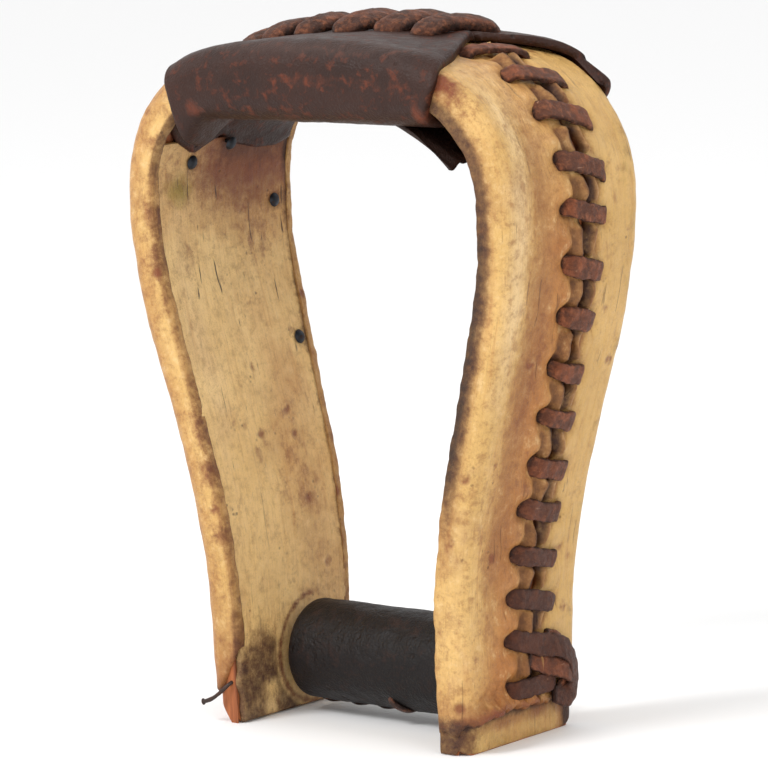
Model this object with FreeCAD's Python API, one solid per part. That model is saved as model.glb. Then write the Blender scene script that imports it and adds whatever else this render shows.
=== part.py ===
import FreeCAD, Part
import math
import os

# A rawhide-covered bentwood saddle stirrup, standing tread up on the ends of its two legs.
# X runs across the stirrup, Y through its depth (-Y is the front), +Z is up.
# The origin is on the resting plane, midway between the legs.  All sizes are in mm.

# ---- driving dimensions ------------------------------------------------------------------
LEG_OUT = 51.2          # half width over the legs at their ends
LEG_UPRIGHT = 27.5      # height at which the legs begin to lean outwards
LEAN_DEG = 14.5         # lean of the straight middle of each leg
FLARE_R = 220.0         # radius of the bend into the lean
LEAN_TOP = 131.5        # height at which the lean begins to turn upright again
SHOULDER_R = 130.0      # radius of that turn
CORNER_Z = 170.0        # height at which the corner bend starts
CORNER_R = 43.0         # radius of the corner bends, on the hide
CORNER_DEG = 81.0       # sweep of each corner bend; the crown arc closes the rest

HIDE = 2.0              # thickness of the rawhide
WOOD = 7.8              # thickness of the bent wood
LEATHER = 2.8           # thickness of the leather on the tread
WOOD_OUT = HIDE         # depths below the outer hide surface
WOOD_IN = HIDE + WOOD
LINER_IN = HIDE + WOOD + HIDE
TONGUE_IN = LINER_IN + 2.4

FOOT_HALF_DEPTH = 29.0  # half depth of the covered legs at the floor
HALF_DEPTH = 35.2       # half depth from the shoulders up
TAPER_TOP = 155.5
TAPER_BLEND_R = 300.0
FOOT_ROUND = 3.0        # rounding of the corners of the leg ends
RIM_R = 5.5             # rounding of the outer rims
RIM_IN_R = 2.0          # rounding of the inner rims

SEAM_Y = 4.5            # the two hide covers meet here on the outer face
SEAM_GAP = 1.6
HIDE_EDGE_Z = 10.4      # lower edge of the hide on the legs, at Y = 0
HIDE_EDGE_SLOPE = 0.05
LINER_EDGE_Z = 2.0
LINER_EDGE_Y = 1.8      # the liner stops this far inside the rims
LINER_TOP = 188.5

TREAD_Z = 192.4         # underside of the finished tread, where the boot presses
BLOCK_HALF_X = 49.0
BLOCK_HALF_Y = 32.6
# each end of the cover: its X at the tread's front lower edge, and its slopes along Z and Y
COVER_END_LEFT = (50.0, 0.42, 0.12)
COVER_END_RIGHT = (45.5, 0.34, 0.14)
COVER_RIM_R = 9.0
COVER_SEAM_Y = 12.0     # where the cover's two edges meet on top
COVER_SEAM_GAP = 2.4
NOTCH_Z = 206.0         # above this height the right end dips in to a notch at the seam
NOTCH = (               # that end's edge, as Y and X
    (-60.0, 51.5), (-38.0, 51.5), (-33.0, 50.0), (-16.0, 43.0), (-7.0, 39.0), (4.0, 32.0),
    (10.0, 29.0), (15.0, 33.0), (21.0, 42.0), (29.0, 50.0), (35.0, 58.0), (60.0, 61.0))
TONGUE_Y = (-30.0, 29.0)
TONGUE_Z = 179.0        # the left tongue's lower end, on the leg's inner face
TONGUE_X = 45.0         # where it leaves the tread's underside
FLAP = (                # the right tongue's section; it hangs free of the leg
    (30.0, 192.4), (40.0, 188.9), (52.5, 181.0), (54.0, 183.0), (42.5, 190.4),
    (42.5, 193.6), (30.0, 193.6))

LACE_FIRST = 16.9       # distance of the lowest lace bar up the leg
LACE_PITCH = 13.2       # first pitch of the bars; it grows towards the tread
LACE_GROWTH = 0.14
LACE_SWELL = 4.0        # the bars are spread upwards by up to this much,
LACE_SWELL_AT = 9.6     # most at this bar,
LACE_SWELL_SPAN = 2.8   # and over about this many bars to each side
RIGHT_BARS = 15
LEFT_BARS = 14          # the topmost is under the cover on the left
LACE_W = 6.4
LACE_UP = 1.9           # how proud a bar stands of the hide
LACE_SUNK = 0.3         # how far a bar's underside lies in the hide
LACE_ROUND = 0.9
LACE_UNDER = (-2.0, -1.0)
LACE_LINK_W = 2.4       # width of the runs hidden in the hide and the leather
LACE_END = 2.0          # length of the thong's turn into the hide
LACE_HALF = 10.6        # half length of the longest bars
LACE_SHORT = 0.34       # the bars are shorter by up to this share,
LACE_SHORT_AT = 6.8     # most at this bar,
LACE_SHORT_SPAN = 3.2   # and over about this many bars to each side
LACE_DROP = 2.4         # half of its fall from front to back

KNOT_R = 1.9
KNOT_OUT = 3.2          # distance of the knot's middle from the hide
KNOT_LOOPS = (          # straight lengths of the knot, as the Y and Z of their two ends
    ((15.5, 11.5), (23.5, 27.0)),
    ((16.5, 27.0), (24.5, 13.5)),
    ((24.5, 13.5), (24.0, 25.0)),
    ((15.5, 11.5), (24.5, 13.5)),
)

# each strand over the cover's seam: the X of its front end, and how far it slants in X
TREAD_STRANDS = ((-49.0, 0.0), (-39.5, 0.0), (-27.0, 2.0), (-12.0, 6.0), (3.5, 9.0), (18.0, 8.0))
STRAND_Y = (-1.0, 26.0)
STRAND_W = 8.0
STRAND_UP = 6.0
STRAND_SUNK = 0.5
STRAND_ROUND = 1.8
STRAND_END_W = 3.6      # a strand's end, where it turns down into the leather
STRAND_END = 2.4
STRAND_LINK = (-2.3, -1.3)

ROLLER_Y = 6.0
ROLLER_Z = 19.5
ROLLER_R = 16.2
ROLLER_LEN = 70.0
SLEEVE = 2.2            # leather on the roller
BOLT_R = 4.0
ROLLER_PLAY = 0.05      # radial running clearance of the roller on the bolt
WASHER_R = 8.0
WASHER_T = 1.0
HEAD_R = 7.0
HEAD_T = 3.2
COUNTERBORE = 4.6
SINK_PLAY = 0.3         # radial clearance of the counterbore round the washer
SLEEVE_ROUND = 0.9
STITCHES = (            # each stitch's two ends, as X and an angle from +Y towards +Z
    (-32.0, -96.0, -25.0, -66.0), (-21.0, -96.0, -14.0, -66.0), (-10.0, -96.0, -3.0, -66.0),
    (14.0, -96.0, 21.0, -66.0), (25.0, -96.0, 32.0, -66.0), (2.9, -140.0, 8.5, -108.0))
STITCH_W = 4.2
STITCH_DEPTH = (-1.3, 1.2)
STITCH_ROUND = 0.6

TACK_HEAD_R = 2.3
TACK_HEAD_H = 1.3
TACK_SHANK_R = 0.7
TACK_LEN = 7.0
LINER_TACKS = ((-15.5, 176.5), (25.5, 160.6), (26.0, 116.4))
TONGUE_TACK = (-1.0, 181.5)

BLOCK_NAILS_X = (-30.0, 0.0, 30.0)
BLOCK_NAIL_R = 1.2
BLOCK_NAIL_LEN = 14.0
BLOCK_NAIL_HEAD_R = 2.6
BLOCK_NAIL_HEAD_H = 0.9
BLOCK_ROUND = 4.0

NAIL_R = 0.6
NAIL_TIP_R = 1.1
NAIL_PATH = (
    (-43.2, -24.0, 13.8), (-43.4, -28.4, 12.8), (-45.6, -30.0, 10.4), (-48.4, -30.6, 8.2),
    (-51.0, -30.9, 7.0), (-52.4, -31.0, 6.6))
# the left leg's outer front corner is broken away, on a slant through these points
BROKEN_CORNER = (
    (-52.0, -32.0, -1.0), (-52.0, -32.0, 16.0), (-41.0, -32.0, -1.0), (-52.0, -10.0, -1.0))

CORNER_RUN = 175.0      # a distance up the leg at which it is already turning inwards
FAR = 300.0


def vec(x, y, z):
    return FreeCAD.Vector(x, y, z)


def box(low, high):
    size = [high[i] - low[i] for i in range(3)]
    return Part.makeBox(size[0], size[1], size[2], vec(*low))


def mirrored(shape):
    return shape.mirror(vec(0, 0, 0), vec(1, 0, 0))


def rod(start, end, radius):
    """A round rod with domed ends between two points."""
    run = end - start
    body = Part.makeCylinder(radius, run.Length, start, run)
    body = body.fuse(Part.makeSphere(radius, start))
    return body.fuse(Part.makeSphere(radius, end))


def fused(shapes):
    return shapes[0].fuse(shapes[1:]).removeSplitter()


# ---- the outline of the outer face, and everything at a depth below it ---------------------
class Outline:
    """The right half of the outline in XZ, from the leg's end to the middle of the crown,
    as tangent lines and arcs, each moved inwards by the same depth."""

    def __init__(self, depth):
        lean = math.radians(LEAN_DEG)
        sweep = math.radians(CORNER_DEG)
        sine = math.sin(lean)
        cosine = math.cos(lean)
        flare_x = LEG_OUT + FLARE_R
        low_x = flare_x - FLARE_R * cosine
        low_z = LEG_UPRIGHT + FLARE_R * sine
        high_x = low_x + (LEAN_TOP - low_z) * sine / cosine
        shoulder = (high_x - SHOULDER_R * cosine, LEAN_TOP + SHOULDER_R * sine)
        corner = (shoulder[0] + SHOULDER_R - CORNER_R, CORNER_Z)
        crown_x = corner[0] + CORNER_R * math.cos(sweep)
        crown_r = crown_x / math.cos(sweep)
        crown = (0.0, corner[1] + (CORNER_R - crown_r) * math.sin(sweep))
        # each arc is (centre, radius, first angle, last angle), in the order met going up
        self.arcs = [
            ((flare_x, LEG_UPRIGHT), FLARE_R + depth, math.pi, math.pi - lean),
            (shoulder, SHOULDER_R - depth, -lean, 0.0),
            (corner, CORNER_R - depth, 0.0, sweep),
            (crown, crown_r - depth, sweep, math.pi / 2),
        ]
        self.foot = (LEG_OUT - depth, 0.0)
        self.depth = depth

    def arc_point(self, arc, angle):
        centre, radius = arc[0], arc[1]
        return centre[0] + radius * math.cos(angle), centre[1] + radius * math.sin(angle)

    def stretches(self):
        """Each stretch as its start, middle and end points; the middle is None on a line."""
        found = []
        here = self.foot
        for arc in self.arcs:
            start = self.arc_point(arc, arc[2])
            middle = self.arc_point(arc, (arc[2] + arc[3]) / 2)
            end = self.arc_point(arc, arc[3])
            if math.dist(here, start) > 1e-6:
                found.append((here, None, start))
            found.append((start, middle, end))
            here = end
        return found

    def at(self, run):
        """The point at a distance up the uncovered outline, and the outward normal there."""
        left = run
        here = Outline(0.0).foot
        normal = (1.0, 0.0)
        for arc in Outline(0.0).arcs:
            start = self.arc_point(arc, arc[2])
            gap = math.dist(here, start)
            if left <= gap:
                share = left / gap if gap else 0.0
                point = [here[i] + share * (start[i] - here[i]) for i in range(2)]
                return self.moved(point, normal)
            left -= gap
            length = abs(arc[3] - arc[2]) * arc[1]
            angle = arc[2] + (arc[3] - arc[2]) * min(left / length, 1.0)
            inward = -1.0 if arc[2] > math.pi / 2 else 1.0
            normal = (inward * math.cos(angle), inward * math.sin(angle))
            if left <= length:
                return self.moved(self.arc_point(arc, angle), normal)
            left -= length
            here = self.arc_point(arc, arc[3])
        return self.moved(here, normal)

    def moved(self, point, normal):
        return [point[i] - self.depth * normal[i] for i in range(2)], normal

    def at_height(self, height):
        """The same, at a height below the crown."""
        low = 0.0
        high = 230.0
        for _ in range(40):
            middle = (low + high) / 2
            if self.at(middle)[0][1] < height:
                low = middle
            else:
                high = middle
        return self.at(low)

    def over(self, x):
        """The height over a place across the crown, and the outward normal there."""
        low = CORNER_RUN
        high = 2 * CORNER_RUN
        for _ in range(40):
            middle = (low + high) / 2
            if self.at(middle)[0][0] > abs(x):
                low = middle
            else:
                high = middle
        point, normal = self.at(low)
        return point[1], (math.copysign(normal[0], x), 0, normal[1])


def outline_edges(depth):
    """Edges of the whole outline, right foot to left foot over the crown."""
    right = Outline(depth).stretches()
    left = []
    for start, middle, end in reversed(right):
        flipped = [None if p is None else (-p[0], p[1]) for p in (end, middle, start)]
        left.append(tuple(flipped))
    edges = []
    for start, middle, end in right + left:
        a = vec(start[0], 0, start[1])
        b = vec(end[0], 0, end[1])
        if middle is None:
            edges.append(Part.LineSegment(a, b).toShape())
        else:
            edges.append(Part.Arc(a, vec(middle[0], 0, middle[1]), b).toShape())
    return edges


def band(outer, inner, half_depth=60.0):
    """The bow-shaped solid between two depths below the outer face."""
    outer_foot = Outline(outer).foot[0]
    inner_foot = Outline(inner).foot[0]
    ends = [
        Part.LineSegment(vec(-outer_foot, 0, 0), vec(-inner_foot, 0, 0)).toShape(),
        Part.LineSegment(vec(inner_foot, 0, 0), vec(outer_foot, 0, 0)).toShape(),
    ]
    edges = outline_edges(outer) + outline_edges(inner) + ends
    wire = Part.Wire(Part.__sortEdges__(edges))
    face = Part.Face(wire)
    face.translate(vec(0, -half_depth, 0))
    return face.extrude(vec(0, 2 * half_depth, 0))


def under(depth, half_depth=60.0):
    """Everything under the outline at a depth, down to the floor."""
    foot = Outline(depth).foot[0]
    edges = outline_edges(depth)
    edges.append(Part.LineSegment(vec(-foot, 0, 0), vec(foot, 0, 0)).toShape())
    face = Part.Face(Part.Wire(Part.__sortEdges__(edges)))
    face.translate(vec(0, -half_depth, 0))
    return face.extrude(vec(0, 2 * half_depth, 0))


def depth_prism(margin):
    """The space between the front and back faces, brought in by a margin all along."""
    turn = math.atan2(HALF_DEPTH - FOOT_HALF_DEPTH, TAPER_TOP)
    trim = TAPER_BLEND_R * math.tan(turn / 2)
    foot = FOOT_HALF_DEPTH - margin
    wide = HALF_DEPTH - margin
    before = (wide - trim * math.sin(turn), TAPER_TOP - trim * math.cos(turn))
    after = (wide, TAPER_TOP + trim)
    centre_y = wide - TAPER_BLEND_R
    middle = (
        centre_y + TAPER_BLEND_R * math.cos(turn / 2),
        TAPER_TOP + trim - TAPER_BLEND_R * math.sin(turn / 2),
    )
    edges = []
    for side in (-1, 1):
        low = vec(-FAR, side * foot, 0)
        start = vec(-FAR, side * before[0], before[1])
        bend = vec(-FAR, side * middle[0], middle[1])
        end = vec(-FAR, side * after[0], after[1])
        top = vec(-FAR, side * wide, FAR)
        edges.append(Part.LineSegment(low, start).toShape())
        edges.append(Part.Arc(start, bend, end).toShape())
        edges.append(Part.LineSegment(end, top).toShape())
    edges.append(Part.LineSegment(vec(-FAR, -foot, 0), vec(-FAR, foot, 0)).toShape())
    edges.append(Part.LineSegment(vec(-FAR, -wide, FAR), vec(-FAR, wide, FAR)).toShape())
    face = Part.Face(Part.Wire(Part.__sortEdges__(edges)))
    return face.extrude(vec(2 * FAR, 0, 0))


def rim_edges(solid, depth):
    """The long edges of a bow along its front and back faces, at a depth."""
    wanted = []
    outline = Outline(depth)
    for edge in solid.Edges:
        middle = edge.valueAt((edge.FirstParameter + edge.LastParameter) / 2)
        along_y = abs(edge.Vertexes[0].Point.y - edge.Vertexes[-1].Point.y) > 20
        if along_y or middle.z < 0.01 or abs(middle.y) < 20:
            continue
        if distance_from(outline, abs(middle.x), middle.z) < 0.2:
            wanted.append(edge)
    return wanted


def distance_from(outline, x, z):
    """How far a point is from an outline."""
    gaps = []
    for start, middle, end in outline.stretches():
        if middle is None:
            edge = Part.LineSegment(vec(start[0], 0, start[1]), vec(end[0], 0, end[1]))
        else:
            edge = Part.Arc(*[vec(p[0], 0, p[1]) for p in (start, middle, end)])
        gaps.append(edge.toShape().distToShape(Part.Vertex(x, 0, z))[0])
    return min(gaps)


def bow(outer, inner, margin, outer_r, inner_r):
    """A bow between two depths, tapered in depth, with its rims rounded."""
    solid = band(outer, inner).common(depth_prism(margin))
    solid = solid.makeFillet(outer_r, rim_edges(solid, outer))
    if inner_r:
        solid = solid.makeFillet(inner_r, rim_edges(solid, inner))
    return solid


# ---- small pieces that are placed on the faces ---------------------------------------------
def place(point, side_y):
    """A point of an outline at a place through the depth."""
    return vec(point[0], side_y, point[1])


def plank(start, end, normal, width, low, high, rounding=0.0):
    """A flat strap from one point to another, between two heights along its normal."""
    run = end - start
    length = run.Length
    along = vec(*run).normalize()
    up = vec(*normal)
    up = (up - along * up.dot(along)).normalize()
    across = up.cross(along)
    strap = Part.makeBox(length, width, high - low, vec(0, -width / 2, low))
    if rounding:
        top = [e for e in strap.Edges if is_top_edge(e, high)]
        strap = strap.makeFillet(rounding, top)
    frame = FreeCAD.Matrix(
        along.x, across.x, up.x, start.x,
        along.y, across.y, up.y, start.y,
        along.z, across.z, up.z, start.z,
        0, 0, 0, 1,
    )
    strap.Placement = FreeCAD.Placement(frame)
    return strap


def is_top_edge(edge, height):
    return all(abs(v.Point.z - height) < 1e-6 for v in edge.Vertexes)


def tack(point, normal):
    """A domed tack driven in at a point; the normal points out of the face."""
    low = vec(TACK_SHANK_R, 0, -TACK_LEN)
    neck = vec(TACK_SHANK_R, 0, 0)
    rim = vec(TACK_HEAD_R, 0, 0)
    top = vec(0, 0, TACK_HEAD_H)
    dome_r = (TACK_HEAD_R ** 2 + TACK_HEAD_H ** 2) / (2 * TACK_HEAD_H)
    half_turn = math.asin(TACK_HEAD_R / dome_r) / 2
    dome_z = TACK_HEAD_H - dome_r
    shoulder = vec(dome_r * math.sin(half_turn), 0, dome_z + dome_r * math.cos(half_turn))
    edges = [
        Part.LineSegment(vec(0, 0, -TACK_LEN), low).toShape(),
        Part.LineSegment(low, neck).toShape(),
        Part.LineSegment(neck, rim).toShape(),
        Part.Arc(rim, shoulder, top).toShape(),
        Part.LineSegment(top, vec(0, 0, -TACK_LEN)).toShape(),
    ]
    solid = Part.Face(Part.Wire(edges)).revolve(vec(0, 0, 0), vec(0, 0, 1), 360)
    solid = Part.Solid(solid.Shells[0])
    turn = FreeCAD.Rotation(vec(0, 0, 1), vec(*normal))
    solid.Placement = FreeCAD.Placement(point, turn)
    return solid


def inner_tack(side_y, height, depth):
    """A tack in the inner face of the right leg, on what ends at a depth."""
    point, normal = Outline(depth).at_height(height)
    return tack(place(point, side_y), (-normal[0], 0, -normal[1]))


# ---- the wooden bow and the block that thickens its tread -----------------------------------
def make_envelope():
    return bow(0.0, LINER_IN, 0.0, RIM_R, RIM_IN_R)


def broken_corner():
    """The piece that is missing from the left leg's end."""
    a, b, c, d = [vec(*corner) for corner in BROKEN_CORNER]
    sides = [(a, b, c), (a, b, d), (a, c, d), (b, c, d)]
    faces = [Part.Face(Part.makePolygon([*side, side[0]])) for side in sides]
    solid = Part.Solid(Part.Shell(faces))
    solid.fix(1e-6, 1e-6, 1e-6)
    return solid


def make_wood():
    """The bow, with the corners of its two ends rounded off."""
    wood = bow(WOOD_OUT, WOOD_IN, HIDE, RIM_R - HIDE, 0)
    corners = []
    for side_x in (-1, 1):
        for side_y in (-1, 1):
            y = side_y * (FOOT_HALF_DEPTH - HIDE)
            corner = Part.makeBox(2 * WOOD, FOOT_ROUND, FOOT_ROUND)
            corner.translate(vec(side_x * (LEG_OUT - WOOD) - WOOD, y - FOOT_ROUND * (side_y > 0), 0))
            centre = vec(side_x * (LEG_OUT - WOOD) - WOOD, y - side_y * FOOT_ROUND, FOOT_ROUND)
            round_end = Part.makeCylinder(FOOT_ROUND, 2 * WOOD, centre, vec(1, 0, 0))
            corners.append(corner.cut(round_end))
    return wood.cut(corners + [broken_corner()])


def make_block():
    low = (-BLOCK_HALF_X, -BLOCK_HALF_Y, TREAD_Z + LEATHER)
    block = box(low, (BLOCK_HALF_X, BLOCK_HALF_Y, FAR)).common(under(WOOD_IN))
    long_edges = [
        e for e in block.Edges
        if all(abs(v.Point.z - low[2]) < 1e-6 and abs(abs(v.Point.x) - BLOCK_HALF_X) < 1e-6
               for v in e.Vertexes) and e.Length > BLOCK_HALF_X * 1.9
    ]
    return block.makeFillet(BLOCK_ROUND, long_edges)


def make_block_nails():
    """Three nails up through the block into the bow, heads flush with the block."""
    nails = []
    low = TREAD_Z + LEATHER
    for x in BLOCK_NAILS_X:
        shank = Part.makeCylinder(BLOCK_NAIL_R, BLOCK_NAIL_LEN, vec(x, 0, low))
        head = Part.makeCylinder(BLOCK_NAIL_HEAD_R, BLOCK_NAIL_HEAD_H, vec(x, 0, low))
        nails.append(shank.fuse(head))
    return Part.makeCompound(nails)


# ---- the rawhide: two covers laced together outside, and a liner inside each leg -------------
def hide_trim():
    """Everything above the slanted lower edge of the hide."""
    slope = math.degrees(math.atan(HIDE_EDGE_SLOPE))
    keep = box((-FAR, -FAR, 0), (FAR, FAR, FAR))
    keep.rotate(vec(0, 0, 0), vec(1, 0, 0), slope)
    keep.translate(vec(0, 0, HIDE_EDGE_Z))
    return keep


def liner_zone():
    return band(WOOD_IN, LINER_IN + 5.0).common(depth_prism(LINER_EDGE_Y))


def make_covers(envelope, wood):
    shell = envelope.cut(wood).cut(liner_zone()).common(hide_trim())
    half_gap = SEAM_GAP / 2
    front = shell.common(box((-FAR, -FAR, 0), (FAR, SEAM_Y - half_gap, FAR)))
    back = shell.common(box((-FAR, SEAM_Y + half_gap, 0), (FAR, FAR, FAR)))
    return front, back


def make_right_liner(envelope, wood):
    zone = liner_zone().common(box((0, -FAR, LINER_EDGE_Z), (FAR, FAR, LINER_TOP)))
    return envelope.cut(wood).common(zone)


# ---- the leather cover of the tread ---------------------------------------------------------
def cover_end(base, slope_z, slope_y):
    """The half space inside a slanted cut that ends the cover on the right."""
    front_y = -HALF_DEPTH
    corners = []
    for y, z in ((-FAR, 0.0), (FAR, 0.0), (FAR, FAR), (-FAR, FAR)):
        x = base + slope_z * (z - TREAD_Z) + slope_y * (y - front_y)
        corners.append(vec(x, y, z))
    face = Part.Face(Part.makePolygon(corners + corners[:1]))
    return face.extrude(vec(-2 * FAR, 0, 0))


def cover_notch():
    """What the notch takes out of the cover's right end."""
    edge = [vec(x, y, NOTCH_Z) for y, x in NOTCH]
    far = [vec(FAR, NOTCH[-1][0], NOTCH_Z), vec(FAR, NOTCH[0][0], NOTCH_Z)]
    face = Part.Face(Part.makePolygon(edge + far + edge[:1]))
    return face.extrude(vec(0, 0, FAR))


def rounded_tread(depth, low, half_depth, rounding):
    """The tread's outside at a depth, above a height, with its four long edges rounded."""
    solid = under(depth, half_depth)
    solid = solid.common(box((-FAR, -FAR, low), (FAR, FAR, FAR)))
    edges = []
    for edge in solid.Edges:
        ends = [v.Point for v in edge.Vertexes]
        if abs(ends[0].y - ends[-1].y) < 1e-6:
            edges.append(edge)
    return solid.makeFillet(rounding, edges)


def across_tread(corners):
    """A section in XZ, carried through the depth of a tongue."""
    points = [vec(x, TONGUE_Y[0], z) for x, z in corners]
    face = Part.Face(Part.makePolygon(points + points[:1]))
    return face.extrude(vec(0, TONGUE_Y[1] - TONGUE_Y[0], 0))


def make_left_tongue():
    """The flap that bridges the inner corner and lies on the leg's inner face."""
    face_point = Outline(TONGUE_IN).at_height(TONGUE_Z)[0]
    wall_point = Outline(LINER_IN - 1.0).at_height(TONGUE_Z + 1.0)[0]
    inside = TREAD_Z + 1.5
    corners = [
        (TONGUE_X, TREAD_Z), (face_point[0], TONGUE_Z), wall_point,
        (wall_point[0], inside), (TONGUE_X, inside),
    ]
    return mirrored(across_tread(corners))


def make_tread_cover(envelope):
    outside = rounded_tread(-LEATHER, TREAD_Z, HALF_DEPTH + LEATHER, COVER_RIM_R)
    inside = rounded_tread(0.0, TREAD_Z + LEATHER, HALF_DEPTH, COVER_RIM_R - LEATHER)
    right = cover_end(*COVER_END_RIGHT)
    left = mirrored(cover_end(*COVER_END_LEFT))
    sleeve = outside.cut(inside).common(right).common(left)
    half_gap = COVER_SEAM_GAP / 2
    seam = box((-FAR, COVER_SEAM_Y - half_gap, NOTCH_Z), (FAR, COVER_SEAM_Y + half_gap, FAR))
    sleeve = sleeve.cut([seam, cover_notch()])
    cover = sleeve.fuse([make_left_tongue(), across_tread(FLAP)]).removeSplitter()
    return cover.cut(envelope)


# ---- lacing ---------------------------------------------------------------------------------
def side_bar_ends(index):
    """Front and back ends of a lace bar on the right leg, and the normal between them."""
    swell = LACE_SWELL * math.exp(-((index - LACE_SWELL_AT) / LACE_SWELL_SPAN) ** 2)
    run = LACE_FIRST + LACE_PITCH * index + LACE_GROWTH * index ** 2 + swell
    outline = Outline(0.0)
    share = 1.0 - LACE_SHORT * math.exp(-((index - LACE_SHORT_AT) / LACE_SHORT_SPAN) ** 2)
    half = LACE_HALF * share
    drop = 0.0 if index == 0 else LACE_DROP * share
    normal = outline.at(run)[1]
    front = place(outline.at(run + drop)[0], SEAM_Y - half)
    back = place(outline.at(run - drop)[0], SEAM_Y + half)
    return front, back, (normal[0], 0, normal[1])


def make_side_lace(bars):
    """One flat thong: bars over the seam, joined by slanting runs under the hide."""
    pieces = []
    last_front = None
    for index in range(bars):
        front, back, normal = side_bar_ends(index)
        pieces.append(plank(front, back, normal, LACE_W, -LACE_SUNK, LACE_UP, LACE_ROUND))
        for end in (front, back):
            inner = end + vec(0, math.copysign(LACE_END, SEAM_Y - end.y), 0)
            pieces.append(plank(end, inner, normal, LACE_W - 2.0, LACE_UNDER[0], 0.2))
        if last_front:
            pieces.append(plank(last_front, back, normal, LACE_LINK_W, *LACE_UNDER))
        last_front = front
    return fused(pieces)


def make_right_knot():
    """The end of the thong, tucked in loops round the lowest bars at the back."""
    x = LEG_OUT + KNOT_OUT
    rods = [rod(vec(x, *start), vec(x, *end), KNOT_R) for start, end in KNOT_LOOPS]
    return fused(rods)


def make_tread_lace():
    """Thick strands laid over the cover's seam, tied together in the leather under it."""
    pieces = []
    outline = Outline(-LEATHER)
    last = None
    for front_x, slant in TREAD_STRANDS:
        up = outline.over(front_x + slant / 2)[1]
        front = vec(front_x, STRAND_Y[0], outline.over(front_x)[0])
        back = vec(front_x + slant, STRAND_Y[1], outline.over(front_x + slant)[0])
        pieces.append(plank(front, back, up, STRAND_W, -STRAND_SUNK, STRAND_UP, STRAND_ROUND))
        inward = (back - front).normalize() * STRAND_END
        for start, end in ((front, front + inward), (back, back - inward)):
            pieces.append(plank(start, end, up, STRAND_END_W, STRAND_LINK[0], 0.5))
        if last:
            pieces.append(plank(last, front, up, LACE_LINK_W, *STRAND_LINK))
        last = back
    return fused(pieces)


# ---- the roller and its bolt ----------------------------------------------------------------
def roller_cylinder(radius, length):
    return Part.makeCylinder(
        radius, length, vec(-length / 2, ROLLER_Y, ROLLER_Z), vec(1, 0, 0))


def make_roller_core():
    core = roller_cylinder(ROLLER_R - SLEEVE, ROLLER_LEN)
    return core.cut(roller_cylinder(BOLT_R + ROLLER_PLAY, ROLLER_LEN + 2))


def make_roller_sleeve():
    sleeve = roller_cylinder(ROLLER_R, ROLLER_LEN)
    rims = [e for e in sleeve.Edges if e.Length > 6 * ROLLER_R]
    sleeve = sleeve.makeFillet(SLEEVE_ROUND, rims)
    return sleeve.cut(roller_cylinder(ROLLER_R - SLEEVE, ROLLER_LEN + 2))


def on_roller(x, degrees):
    """A point on the roller's leather; the angle turns from +Y towards +Z."""
    angle = math.radians(degrees)
    y = ROLLER_Y + ROLLER_R * math.cos(angle)
    z = ROLLER_Z + ROLLER_R * math.sin(angle)
    return vec(x, y, z), (0, math.cos(angle), math.sin(angle))


def make_roller_lace():
    """Slanting stitches down the underside, with one end tucked round to the front."""
    pieces = []
    for x, angle, end_x, end_angle in STITCHES:
        start = on_roller(x, angle)[0]
        end = on_roller(end_x, end_angle)[0]
        normal = on_roller(x, (angle + end_angle) / 2)[1]
        pieces.append(plank(start, end, normal, STITCH_W, *STITCH_DEPTH, STITCH_ROUND))
    return Part.makeCompound(pieces)


def along_bolt(radius, start, end):
    return Part.makeCylinder(radius, end - start, vec(start, ROLLER_Y, ROLLER_Z), vec(1, 0, 0))


def bolt_ends():
    """Places along X of the counterbore floor, the washer's face and the head's face."""
    floor = LEG_OUT - WOOD_OUT - COUNTERBORE
    return floor, floor + WASHER_T, floor + WASHER_T + HEAD_T


def make_bolt():
    seat, top = bolt_ends()[1:]
    shank = along_bolt(BOLT_R, -seat, top)
    head = along_bolt(HEAD_R, -top, -seat)
    return shank.fuse(head).removeSplitter()


def make_nut():
    seat, top = bolt_ends()[1:]
    corners = []
    for turn in range(7):
        angle = math.radians(60 * turn)
        corners.append(vec(seat, ROLLER_Y + HEAD_R * math.cos(angle),
                           ROLLER_Z + HEAD_R * math.sin(angle)))
    nut = Part.Face(Part.makePolygon(corners)).extrude(vec(top - seat, 0, 0))
    return nut.cut(along_bolt(BOLT_R, seat - 1, top + 1))


def make_washer():
    floor, seat = bolt_ends()[:2]
    return along_bolt(WASHER_R, floor, seat).cut(along_bolt(BOLT_R, floor - 1, seat + 1))


def bolt_holes():
    """The clearance bored through the legs, with a counterbore from each outer face."""
    floor = bolt_ends()[0]
    through = along_bolt(BOLT_R, -FAR, FAR)
    sink = along_bolt(WASHER_R + SINK_PLAY, floor, FAR)
    return [through, sink, mirrored(sink)]


def make_bent_nail():
    """A thin nail through the front of the left leg's end, bent flat across it."""
    path = [vec(*point) for point in NAIL_PATH]
    rods = [rod(a, b, NAIL_R) for a, b in zip(path, path[1:])]
    return fused(rods + [Part.makeSphere(NAIL_TIP_R, path[-1])])


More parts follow.
